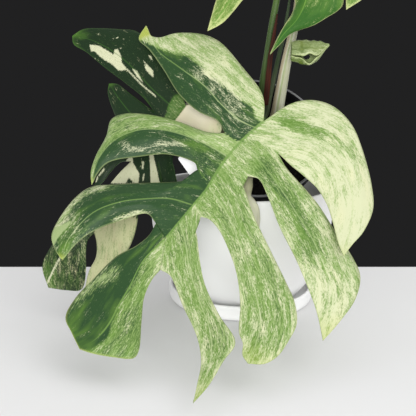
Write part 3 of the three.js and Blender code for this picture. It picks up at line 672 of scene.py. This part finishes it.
def bladeSkin(name, tones):
    mat, tree, bsdf = material(name, tones["green"], 0.42, 0.16)
    uvs = node(tree, "ShaderNodeUVMap", uv_map="Run").outputs[0]
    grain = {key: streak(tree, uvs, *values) for key, values in streaks.items()}
    tag = {key: node(tree, "ShaderNodeAttribute", attribute_name=key).outputs["Fac"]
           for key in paintTags + lineTags}

    def times(a, b, clamp=False):
        return calc(tree, "MULTIPLY", a, b, clamp)

    def plus(a, b, clamp=False):
        return calc(tree, "ADD", a, b, clamp)

    def minus(a, b, clamp=False):
        return calc(tree, "SUBTRACT", a, b, clamp)

    def over(a, b, share):
        # the second colour lies over the first one where the share says
        return blended(tree, share, a, b)

    def above(value, gain, share, spread):
        # sharp-edged marks: the noise has to pass a threshold set by the painted share
        push = times(minus(value, 0.5), gain)
        return plus(push, plus(times(minus(share, 0.5), spread), 0.5), clamp=True)

    mixed = plus(times(grain["long"], 0.45), times(grain["fleck"], 0.55))
    loose = plus(times(grain["veil"], 0.6), times(grain["fleck"], 0.4))
    creamShare = plus(tag["cream"], times(minus(grain["clump"], 0.5), 1.1))
    creams = over(tones["cream"], tones["warm"], above(grain["cloud"], 3.0, tag["gold"], 1.0))
    color = over(tones["green"], tones["dark"], above(grain["cloud"], 3.0, tag["dark"], 1.6))
    color = over(color, tones["pale"], above(loose, 7.0, tag["mint"], 2.2))
    color = over(color, creams, above(mixed, 8.0, creamShare, 2.6))
    # solid patches with a ragged edge, tinted in places
    patch = over(tones["patch"], tones["pale"], times(minus(grain["veil"], 0.57), 9.0, clamp=True))
    ragged = plus(times(tag["patch"], 1.3), times(minus(grain["fleck"], 0.5), 5.0))
    color = over(color, patch, plus(ragged, 0.5, clamp=True))
    color = over(color, tones["gold"], times(tag["gold"], 0.8))
    # veins, midrib and margin
    veinTone = over(tones["rib"], tones["ribPale"], times(tag["cream"], 2.2, clamp=True))
    color = over(color, veinTone, times(minus(1.5, tag["vein"], clamp=True), tones["veinMix"]))
    color = over(color, tones["rib"], times(minus(1.6, tag["rib"], clamp=True), tones["ribMix"]))
    rim = minus(1.0, calc(tree, "DIVIDE", tag["edge"], tones["rimWide"]), clamp=True)
    color = over(color, tones["rim"], times(rim, tones["rimMix"]))
    link(tree, color, bsdf.inputs["Base Color"])
    pressed(tree, bsdf, grain["long"], 0.2, 0.001)
    return mat


def reach(points, u, v):
    # distance to a drawn line
    best = 99.0
    for (a, b), (c, d) in zip(points, points[1:]):
        x, y = c - a, d - b
        k = max(0.0, min(1.0, ((u - a) * x + (v - b) * y) / (x * x + y * y)))
        best = min(best, math.hypot(u - a - k * x, v - b - k * y))
    return best


def within(points, u, v):
    # distance to a drawn outline, positive inside
    closed = points + points[:1]
    odd = False
    for (a, b), (c, d) in zip(closed, closed[1:]):
        if (b > v) != (d > v) and u < a + (c - a) * (v - b) / (d - b):
            odd = not odd
    return reach(closed, u, v) * (1 if odd else -1)


def lineAt(points, value, key):
    # where a drawn line crosses a value of u (key 0) or v (key 1)
    pts = sorted(points, key=lambda q: q[key])
    return float(np.interp(value, [q[key] for q in pts], [q[1 - key] for q in pts]))


# front leaf: lobes 0 to 2 on the left, 3 at the tip, then 4 to 7 on the right back to the base
frontLeaf = {
    "base": (12, -70, 167), "along": (-0.62, -0.4, -0.68), "facing": (-0.02, -0.855, 0.52),
    "stations": stationsFor(1), "sway": -4, "bend": lambda u, v: 12e-4 * u * v - 6e-4 * v * v,
    "lobes": [
        {"stations": (0, 2, 5), "freeA": True, "keel": 4, "lift": -3, "wave": 1, "waves": 1.5,
         "a": [(-13, -9), (-20, -18), (-28, -42), (-36, -72), (-34, -88), (-24, -106), (-13, -116),
               (-11, -125)],
         "vein": [(11, -15), (9, -34), (4, -55), (2, -80), (-2, -108)],
         "b": [(26, -17), (21, -27), (23, -46), (19, -68), (9, -92), (0, -116), (-4, -131)],
         "tip": (-17, -134)},
        {"stations": (5, 7, 10), "keel": 6, "lift": 3, "wave": 0.8, "waves": 1.5,
         "a": [(26, -17), (33, -28), (39, -52), (48, -78), (57, -94), (66, -100), (80, -93), (98, -88),
               (110, -82)],
         "vein": [(44, -30), (54, -58), (66, -74), (82, -83), (100, -83)],
         "b": [(62, -15.2), (59, -19), (59.5, -26), (66, -44), (80, -60), (97, -76), (108, -77)],
         "tip": (118, -74)},
        {"stations": (10, 12, 16), "keel": 6, "lift": 3, "wave": 1.2, "waves": 1.5,
         "a": [(62, -15.2), (70, -14.8), (74.5, -17.5), (79, -21.5), (86.5, -31), (96, -43.5), (108, -60),
               (120, -75), (134, -79), (153, -77), (166, -72), (172, -62)],
         "vein": [(93, -17), (104, -31), (117, -44.5), (133, -55), (147, -58), (164, -57)],
         "b": [(113, -13), (111, -23), (124, -35), (140, -45), (158, -51)], "tip": (175, -51)},
        {"stations": (16, 16, 16), "keel": 3, "lift": 8, "wave": 1, "waves": 2,
         "a": [(113, -13), (122, -11), (134, -13), (150, -20), (172, -22), (190, -22), (203, -18), (208, -6)],
         "vein": [(141, -1.6), (160, 3.5), (174, 6.5), (188, 10), (200, 10)],
         "b": [(138, 12), (146, 12), (160, 16), (174, 26), (188, 37), (194, 38), (202, 27), (209, 14)],
         "tip": (212, 6)},
        {"stations": (12, 14, 16), "keel": 2, "lift": 24, "wave": 1.2, "waves": 2,
         "a": [(90, 10), (97, 10), (104, 18), (117, 31), (128, 44), (139, 65), (147, 84), (160, 85),
               (178, 87)],
         "vein": [(112, 14), (124, 27), (138, 47), (152, 68), (168, 80)],
         "b": [(138, 12), (137, 20), (148, 41), (160, 64), (170, 75), (181, 81)], "tip": (191, 86)},
        {"stations": (8, 10, 12), "keel": 2, "lift": 8, "wave": 1.4, "waves": 2,
         "a": [(44, 18), (50, 18), (58, 28), (68, 42), (80, 64), (93, 87), (101, 99), (112, 108), (124, 110),
               (137, 110), (146, 106)],
         "vein": [(76, 22), (90, 45), (108, 70), (128, 90)],
         "b": [(90, 10), (88, 16), (91, 29), (105, 52), (124, 71), (140, 82), (144, 88), (150, 92)],
         "tip": (152, 98)},
        {"stations": (4, 5, 8), "keel": 2, "lift": 0, "wave": 1.2, "waves": 2,
         "a": [(15, 24), (21, 36), (30, 70), (38, 90), (48, 113), (56, 124), (72, 130), (90, 130)],
         "vein": [(30, 21), (37, 41), (46, 62), (55, 82), (66, 100), (79, 116)],
         "b": [(44, 18), (41, 25), (48, 39), (62, 60), (78, 88), (94, 112)], "tip": (109, 128)},
        {"stations": (0, 2, 4), "freeA": True, "keel": 3, "lift": 9, "wave": 1, "waves": 1.5,
         "a": [(-6, 2), (-18, 5), (-30, 11), (-40, 22), (-44, 36), (-40, 54), (-27, 73), (-8, 93), (8, 104),
               (29, 108), (43, 107)],
         "vein": [(-2, 22), (-12, 48), (-4, 72), (18, 92)],
         "b": [(15, 24), (16, 30), (17.4, 38), (18, 47), (18.8, 55), (20.5, 64), (27, 76), (37.5, 88),
               (48, 99)],
         "tip": (54, 107)},
    ],
}
# lines and outlines of its markings; the digit in a name is the lobe
marks = {
    "border0": [(-3, -109), (-5, -95), (-10, -80), (-5, -61), (-4, -43), (-2, -24), (-4, -14), (2, -7)],
    "splash0": [(-4, -66), (-3, -53), (1, -39), (5, -25), (9, -14)],
    "streak1": [(52, -37), (64, -51), (74, -62), (80, -72)],
    "patch2": [(149, -66), (157, -71), (161, -75), (167, -71), (171, -65), (166, -66), (159, -66),
               (153, -65)],
    "border3": [(141, -1.6), (160, 3.5), (173, 6.4), (187, 11), (195.5, 15.5), (205, 13)],
    "band3": [(189, -19), (178.5, -21.5), (167, -20), (158, -14), (159, -11), (167, -13.5), (174, -18),
              (181, -18.5)],
    "rim3": [(200, -18), (194, -19.5), (188, -20)],
    "green6": [(30, 21), (36, 34), (42, 55), (50, 69), (62, 87)],
    "green7": [(-10, 14), (-13, 24), (-16, 33), (-17, 42)],
    "rim7": [(-22, 50), (-21, 64), (-17, 78)],
}


def frontPaint(number, t, w, u, v, rim):
    # rim is the distance to the margin
    if number == 0:
        side = step(lineAt(marks["border0"], v, 1) - u, -1.5, 2.5)
        splash = fade(reach(marks["splash0"], u, v), 9)
        low = step(w, 0.1, 0.5) * step(v, -60, -30)
        return {"cream": 0.03 + 0.42 * side + 0.33 * splash + 0.12 * low, "dark": 0.95 - 0.6 * side,
                "mint": 0.06 + 0.72 * side + 0.1 * low, "gold": 1.2 * step(t, 0.89, 0.93)}
    if number == 1:
        side = step(-w, -0.08, 0.12)
        root = 1 - step(t, 0.12, 0.4)
        line = fade(reach(marks["streak1"], u, v), 3.2)
        return {"cream": 0.06 + 0.17 * side + 0.08 * root + 0.4 * line * (1 - side),
                "dark": 0.95 - 0.6 * side - 0.3 * root,
                "mint": 0.08 + 0.46 * side + 0.15 * root, "gold": step(t, 0.95, 0.99)}
    if number == 2:
        upper = step(-w, 0.6, 0.8) * step(t, 0.45, 0.6) * (1 - step(t, 0.86, 0.95))
        lower = step(w, 0.6, 0.85) * step(t, 0.25, 0.35) * (1 - step(t, 0.5, 0.6))
        end = step(t, 0.62, 0.8)
        return {"cream": 0.03 + 0.3 * upper + 0.5 * lower + 0.22 * end, "dark": 0.95 - 0.35 * end,
                "mint": 0.06 + 0.4 * upper + 0.4 * lower + 0.2 * end,
                "patch": within(marks["patch2"], u, v) + 0.5, "gold": step(t, 0.95, 0.99)}
    if number == 3:
        right = step(v - lineAt(marks["border3"], u, 0), -1.5, 2)
        bright = (1 - right) * step(u, 180, 208)
        root = 1 - step(u, 128, 150)
        near = root * (0.25 + 0.75 * right)
        pale = fade(reach(marks["band3"], u, v), 5) * (1 - right)
        band = max(0.5 * within(marks["band3"], u, v), 0.9 - reach(marks["rim3"], u, v))
        return {"cream": 0.03 + 0.15 * right + 0.2 * near + 0.22 * pale,
                "dark": 0.95 - 0.55 * right - 0.4 * bright - 0.15 * root,
                "mint": 0.02 + 0.4 * right + 0.25 * near + 0.45 * pale, "patch": band - 0.6,
                "gold": 0.5 * (1 - step(rim, 0.2, 1.8)) * step(u, 188, 202)}
    if number in (4, 5):
        edge = 1 - step(rim, 1, 5)
        return {"cream": 0.27 + 0.15 * edge + 0.09 * t, "dark": 0.22, "mint": 0.5 + 0.12 * edge,
                "gold": 0.4 * step(t, 0.85, 1)}
    if number == 6:
        green = fade(reach(marks["green6"], u, v), 8)
        root = 1 - step(t, 0.1, 0.35)
        return {"cream": 0.45 - 0.27 * green + 0.22 * step(u, 60, 95) - 0.12 * root,
                "dark": 0.22 + 0.25 * green, "mint": 0.6 - 0.25 * green, "gold": 0.5 * step(t, 0.85, 1)}
    green = max(fade(reach(marks["green7"], u, v), 6), 0.6 * fade(reach(marks["rim7"], u, v), 5))
    root = 1 - step(t, 0.08, 0.3)
    return {"cream": 0.62 - 0.38 * green + 0.16 * step(v, 65, 95) - 0.15 * root, "dark": 0.0,
            "mint": 0.8 - 0.4 * green - 0.1 * root, "gold": 0.35 * step(t, 0.9, 1)}


frontTones = {"dark": (0.018, 0.05, 0.015), "green": (0.082, 0.165, 0.024), "pale": (0.21, 0.30, 0.10),
              "cream": (0.47, 0.49, 0.31), "warm": (0.52, 0.52, 0.32), "patch": (0.25, 0.32, 0.14),
              "gold": (0.29, 0.34, 0.06), "rib": (0.125, 0.22, 0.05), "ribPale": (0.42, 0.47, 0.26),
              "ribMix": 0.8, "veinMix": 0.65, "rim": (0.34, 0.41, 0.17), "rimWide": 1.1, "rimMix": 0.5}


def addLeaf(name, leaf, paint, tones, nodeName):
    mat = bladeSkin(name, tones)
    place = leafFrame(leaf["base"], leaf["along"], leaf["facing"])
    obj = finished(name, bladeMesh(leaf, place, paint), [mat], [nodeName])
    thickened(obj, blade["wall"])


addLeaf("frontBlade", frontLeaf, frontPaint, frontTones, "leaf_front")
print("front leaf built")

# left leaf, behind: lobes 0 to 3 on the left, 4 at the tip, then 5 to 8 on the right back to its cream base
# its plain lobes show no midrib or veins
leftLeaf = {
    "base": (-49, -37, 178), "along": (-0.603, -0.1, -0.791), "facing": (-0.305, -0.888, 0.344),
    "stations": stationsFor(1), "sway": 0, "bend": lambda u, v: 9 * step(v, 0, 40), "plain": range(2, 9),
    "lobes": [
        {"stations": (0, 2, 5), "freeA": True, "keel": 3, "lift": 2, "wave": 0.8, "waves": 1.5,
         "a": [(-8, -14), (-20, -40), (-26, -79), (-19, -95), (-10, -111), (0, -125)],
         "vein": [(6, -30), (0, -70), (2, -106)],
         "b": [(20, -18), (16, -34), (15, -56), (15, -84), (14, -108), (15, -124)], "tip": (10, -130)},
        {"stations": (5, 6, 8), "keel": 3, "lift": 0, "wave": 0.8, "waves": 1,
         "a": [(20, -18), (20, -34), (20, -50), (20, -64)],
         "vein": [(34, -24), (30, -48)],
         "b": [(50, -12), (49, -30), (41, -50), (31, -66)], "tip": (24, -71)},
        {"stations": (8, 9, 10), "keel": 1, "lift": 0, "wave": 0.6, "waves": 1,
         "a": [(50, -12), (58, -23), (68, -31), (79, -33), (89, -28)],
         "vein": [(64, -18), (78, -25), (90, -24)],
         "b": [(64, -9), (70, -16), (82, -19), (94, -19)], "tip": (102, -22)},
        {"stations": (10, 13, 16), "keel": 1, "lift": 0, "wave": 0.3, "waves": 1,
         "a": [(64, -9), (76, -11), (90, -12), (104, -15)],
         "vein": [(98, -8), (106, -13)],
         "b": [(112, -13), (113, -15)], "tip": (112, -18)},
        {"stations": (16, 16, 16), "keel": 3, "lift": -4, "wave": 1, "waves": 1.5,
         "a": [(112, -13), (124, -16), (138, -21), (152, -23), (168, -23), (182, -19)],
         "vein": [(150, -4), (176, -2)],
         "b": [(130, 3), (138, 2), (148, 9), (156, 17), (170, 27), (182, 14)], "tip": (193, -3)},
        {"stations": (12, 14, 16), "keel": 2, "lift": 3, "wave": 0.8, "waves": 1.5,
         "a": [(84, 14), (92, 27), (106, 37), (124, 41), (146, 38)],
         "vein": [(116, 16), (142, 26)],
         "b": [(130, 3), (134, 11), (143, 20), (154, 24)], "tip": (168, 33)},
        {"stations": (8, 10, 12), "keel": 1, "lift": 0, "wave": 0.6, "waves": 1,
         "a": [(50, 12), (56, 21), (63, 31), (74, 38)],
         "vein": [(76, 20), (82, 32)],
         "b": [(84, 14), (87, 24), (88, 33)], "tip": (86, 39)},
        {"stations": (4, 6, 8), "keel": 1, "lift": 0, "wave": 0.6, "waves": 1,
         "a": [(24, 12), (33, 19), (40, 21), (47, 31)],
         "vein": [(38, 18), (50, 32)],
         "b": [(50, 12), (56, 22), (63, 33)], "tip": (59, 46)},
        {"stations": (0, 2, 4), "freeA": True, "keel": 1, "lift": 0, "wave": 0.6, "waves": 1,
         "a": [(-5, 6), (-7, 16), (-6, 30), (-3, 41)],
         "vein": [(8, 12), (8, 30)],
         "b": [(24, 12), (21, 22), (16, 33)], "tip": (5, 45)},
    ],
}
# outlines of its cream spots; the drips are measured down and across, as in leftPaint
spots = {
    "large": [(7, -109), (3, -100), (2, -89), (2, -82), (-3, -85), (-4, -82), (-1, -75), (3, -71), (5, -63),
              (8, -66), (10, -70), (9, -79), (10, -87), (10, -94), (9, -100), (11, -104)],
    "second": [(-9, -55), (-7, -42), (-2, -37), (-4, -48)],
    "third": [(2, -59), (1, -54), (6, -43), (5, -51)],
    "curl": [(-15, -55), (-16, -52), (-12, -46), (-13, -50)],
    "bits": [(-5, -108), (-14, -84), (-9, -92), (-12, -90), (-7, -80), (14, -96)],
    "thinLine": [(5, -63), (8, -43), (9, -26)],
    "creamWedge": [(61, -10), (63, -13), (90, -13), (74, 9), (68, 4), (64, -7)],
    "gapInWedge": [(81, -1), (76, -2), (76, 6)],
    "drips": [[(2, -7), (9, -7.5)], [(15, -6), (21, -6.5)], [(10, -45), (16, -50)], [(18, -52), (22, -53.5)]],
    "border4": [(150, 15), (154, 16), (159, 19), (161, 25), (167, 31)],
    "stripe4": [(166, -8), (190, -6)],
    "collar": [(-6, -8), (-4, 1), (6, 1), (15, 0), (20, -7), (10, -11), (0, -12)],
}


def leftPaint(number, t, w, u, v, rim):
    # the lower part is marked straight down: across and down from the cream stripe
    across = -0.727 * (u - 53) + 0.789 * (v - 4)
    down = 0.949 * (u - 53) + 0.666 * (v - 4)
    hang = (down, across)
    if number == 0 or (number == 1 and u < 40):
        tip = step(t, 0.82, 1)
        collar = step(within(spots["collar"], u, v), -2, 1)
        patch = max(within(spots[key], u, v) for key in ("large", "second", "third", "curl"))
        patch = max(patch, 0.5 - reach(spots["thinLine"], u, v))
        patch = max(patch, 0.7 - min(math.hypot(u - a, v - b) for a, b in spots["bits"]))
        return {"cream": 0.12 * collar, "dark": 1.1 - 0.7 * tip - 0.2 * (1 - step(rim, 0, 3)) - 1.2 * collar,
                "mint": 0.35 * collar, "patch": patch}
    if number == 8 or (number == 7 and down < -14):
        collar = 1 - step(v, 0.3, 2.2)
        low = step(v, 20, 42)
        gold = (1.2 - 0.5 * step(u, 0, 9)) * (1 - collar) * (1 - 0.8 * low)
        return {"cream": 1.6 - 1.5 * collar - 0.95 * low, "dark": 0.1, "mint": 0.9 - 0.6 * collar,
                "gold": gold, "hang": hang}
    if number == 4:
        right = step(v - lineAt(spots["border4"], u, 0), -0.6, 0.8) * step(u, 150, 153)
        return {"cream": 0.22 + 0.9 * right, "dark": 0.75 - 0.5 * step(u, 175, 192),
                "mint": 0.26 + 0.5 * right, "patch": 0.9 - reach(spots["stripe4"], u, v), "hang": hang}
    if number == 5 and u > 96:
        return {"cream": 0.68, "dark": 0.1, "mint": 0.8, "hang": hang}
    middle = 1 + 0.2 * (down + 5)
    stripe = 2.0 + 0.09 * (down + 5) - abs(across - middle)
    wedge = min(within(spots["creamWedge"], u, v), -within(spots["gapInWedge"], u, v))
    drip = max(0.8 - reach(line, down, across) for line in spots["drips"])
    patch = max(stripe, wedge, drip) - 4 * step(across, 27, 30)
    return {"cream": 0.0, "dark": 1.1, "mint": 0.02, "patch": patch, "hang": hang}


leftTones = {"dark": (0.007, 0.021, 0.006), "green": (0.045, 0.11, 0.014), "pale": (0.2, 0.27, 0.1),
             "cream": (0.44, 0.45, 0.25), "warm": (0.43, 0.38, 0.23), "patch": (0.46, 0.47, 0.31),
             "gold": (0.64, 0.60, 0.45), "rib": (0.035, 0.1, 0.014), "ribPale": (0.2, 0.3, 0.1),
             "ribMix": 0.7, "veinMix": 0.5, "rim": (0.05, 0.11, 0.025), "rimWide": 1.0, "rimMix": 0.4}
addLeaf("leftBlade", leftLeaf, leftPaint, leftTones, "leaf_left")

# top leaf: lobes 0 to 2 on the left, 3 at the tip, then 4 to 6 on the right
topLeaf = {
    "base": (61, -18, 340), "along": (-0.61, -0.34, -0.71), "facing": (-0.1, -0.87, 0.48),
    "stations": stationsFor(0.71), "sway": 0, "bend": lambda u, v: -6e-4 * v * v,
    "lobes": [
        {"stations": (0, 2, 5), "freeA": True, "keel": 3, "lift": -4, "wave": 1, "waves": 1.5,
         "a": [(-12, -6), (-26, -22), (-30, -44), (-24, -66), (-10, -82), (6, -90)],
         "vein": [(4, -20), (-6, -44), (4, -72)],
         "b": [(14, -18), (17, -44), (20, -66), (22, -82)], "tip": (24, -92)},
        {"stations": (5, 7, 10), "keel": 3, "lift": -3, "wave": 1, "waves": 1.5,
         "a": [(14, -18), (26, -44), (34, -70), (44, -88), (58, -96)],
         "vein": [(36, -26), (46, -56), (60, -84)],
         "b": [(40, -16), (50, -38), (60, -60), (68, -80)], "tip": (76, -98)},
        {"stations": (10, 13, 16), "keel": 3, "lift": 0, "wave": 1, "waves": 1.5,
         "a": [(40, -16), (52, -34), (62, -56), (74, -74), (90, -82), (106, -78)],
         "vein": [(74, -16), (88, -42), (106, -62)],
         "b": [(86, -13), (92, -30), (106, -48), (118, -60)], "tip": (124, -68)},
        {"stations": (16, 16, 16), "keel": 2, "lift": 2, "wave": 1, "waves": 1.5,
         "a": [(86, -13), (98, -15), (112, -14), (125, -11), (138, -5)],
         "vein": [(110, -2), (132, 0)],
         "b": [(90, 11), (101, 7), (114, 5), (125, 6), (138, 6)], "tip": (151, 1)},
        {"stations": (8, 12, 16), "keel": 4, "lift": 0, "wave": 1, "waves": 1.5,
         "a": [(38, 15), (50, 33), (61, 53), (69, 65), (76, 68), (90, 64), (101, 60), (109, 55), (117, 51),
               (129, 50)],
         "vein": [(68, 18), (84, 42), (104, 49), (122, 48)],
         "b": [(90, 11), (88, 24), (92, 38), (101, 42), (114, 44), (126, 46)], "tip": (139, 49)},
        {"stations": (4, 6, 8), "keel": 3, "lift": 3, "wave": 0.6, "waves": 1.5,
         "a": [(12, 18), (18, 40), (26, 60), (38, 74), (52, 79), (65, 77)],
         "vein": [(28, 18), (38, 42), (52, 67)],
         "b": [(38, 15), (47, 35), (57, 53), (67, 65)], "tip": (78, 73)},
        {"stations": (0, 2, 4), "freeA": True, "keel": 3, "lift": -4, "wave": 1, "waves": 1.5,
         "a": [(-10, 4), (-24, 16), (-30, 34), (-24, 56), (-10, 74), (8, 84)],
         "vein": [(4, 20), (-4, 44), (10, 72)],
         "b": [(12, 18), (14, 40), (19, 62), (24, 78)], "tip": (26, 90)},
    ],
}


def topPaint(number, t, w, u, v, rim):
    edge = 1 - step(rim, 0.8, 3)
    if number == 4:
        plain = max(step(w, -0.1, 0.2), step(t, 0.45, 0.7))
        return {"cream": 0.26 - 0.25 * plain + 0.2 * edge, "dark": 0.35 + 0.55 * plain,
                "mint": 0.34 - 0.32 * plain}
    if number == 3:
        return {"cream": 0.34 + 0.3 * edge, "dark": 0.2, "mint": 0.5, "gold": 0.1}
    return {"cream": 0.4 + 0.2 * edge, "dark": 0.3, "mint": 0.4}


topTones = {"dark": (0.024, 0.088, 0.01), "green": (0.065, 0.15, 0.018), "pale": (0.14, 0.22, 0.05),
            "cream": (0.37, 0.42, 0.17), "warm": (0.40, 0.43, 0.17), "patch": (0.4, 0.45, 0.2),
            "gold": (0.28, 0.34, 0.05), "rib": (0.10, 0.22, 0.03), "ribPale": (0.18, 0.3, 0.06),
            "ribMix": 0.7, "veinMix": 0.5, "rim": (0.43, 0.45, 0.2), "rimWide": 1.1, "rimMix": 0.7}
addLeaf("topBlade", topLeaf, topPaint, topTones, "leaf_top")
print("left and top leaves built")

# new leaf, still rolled: a grid wound round an axis, with a long gap and a torn hole at the back
newLeaf = {"axis": [(33.4, -57, 219.4), (40, -57, 218.8), (45, -57, 218.2), (50.4, -57, 218.5),
                    (55.5, -56.5, 220.4), (58.6, -56, 222.2), (62.5, -55, 224)],
           "run": (0, 0.22, 0.38, 0.56, 0.72, 0.8, 0.88, 1),
           "radii": (6.8, 8.1, 8.9, 8.6, 6.4, 4.4, 2.4, 0.5),
           "flat": 0.5, "turn": -1.1, "gap": 0.16, "widerGap": 0.62, "widestAt": 0.42, "wall": 0.8,
           "around": 90, "rows": 80, "tearAt": (45.8, 215.3), "tearSize": (2.7, 2.1), "tearBehind": -57}
line = smoothLine(newLeaf["axis"], np.linspace(0, 1, newLeaf["rows"] + 1))
bm = bmesh.new()
uv = bm.loops.layers.uv.new("Run")
tags = {key: bm.verts.layers.float.new(key) for key in paintTags + lineTags}
made = bmesh.ops.create_grid(bm, x_segments=newLeaf["around"], y_segments=newLeaf["rows"], size=0.5)
for vert in made["verts"]:
    s, t = vert.co.x + 0.5, vert.co.y + 0.5
    rad = float(np.interp(t, newLeaf["run"], newLeaf["radii"]))
    side = min(s, 1 - s)
    lip = fade(side, 0.05) * math.sin(math.pi * min(1, 1.05 * t))
    gap = newLeaf["gap"] + newLeaf["widerGap"] * fade(t - newLeaf["widestAt"], 0.12)
    ruffle = 0.05 * lip * math.sin(17 * t + (2 if s > 0.5 else 0))
    a = gap / 2 + (2 * math.pi - gap) * s + newLeaf["turn"] + ruffle
    crease = 0.04 * math.sin(a * 4 + t * 8) * math.sin(math.pi * t)
    fold = 1 + crease + 0.14 * lip + 0.03 * math.sin(31 * t + a)
    outward = Vector((0, newLeaf["flat"] * math.sin(a), -math.cos(a)))
    vert.co = (Vector(line[round(t * newLeaf["rows"])]) + outward * rad * fold) * mm
    green = 0.7 * fade(t - 0.24, 0.05) + 0.6 * fade(side - 0.09, 0.02)
    tints = {"cream": 0.15 + 0.5 * lip, "dark": green, "mint": 0.5 - 0.4 * green, "patch": noPatch,
             "gold": 0.25 * green, "rib": farAway, "vein": farAway, "edge": side * 2 * math.pi * rad}
    for key, value in tints.items():
        vert[tags[key]] = value
torn = []
for f in bm.faces:
    spot = f.calc_center_median() / mm
    away = math.hypot((spot.x - newLeaf["tearAt"][0]) / newLeaf["tearSize"][0],
                      (spot.z - newLeaf["tearAt"][1]) / newLeaf["tearSize"][1])
    if spot.y > newLeaf["tearBehind"] and away < 1:
        torn.append(f)
bmesh.ops.delete(bm, geom=torn, context="FACES")
for f in bm.faces:
    for loop in f.loops:
        loop[uv].uv = (loop.vert.co.x * 100, loop.vert.co.z * 100)
bmesh.ops.recalc_face_normals(bm, faces=bm.faces)
newTones = {"dark": (0.045, 0.085, 0.015), "green": (0.13, 0.175, 0.055), "pale": (0.19, 0.235, 0.10),
            "cream": (0.38, 0.42, 0.24), "warm": (0.38, 0.40, 0.22), "patch": (0.4, 0.4, 0.25),
            "gold": (0.28, 0.32, 0.06), "rib": (0.1, 0.2, 0.05), "ribPale": (0.2, 0.3, 0.1), "ribMix": 0.0,
            "veinMix": 0.0, "rim": (0.33, 0.39, 0.17), "rimWide": 1.2, "rimMix": 0.8}
obj = finished("newBlade", bm, [bladeSkin("newBlade", newTones)], ["leaf_new"])
thickened(obj, newLeaf["wall"])

print("all pieces built")
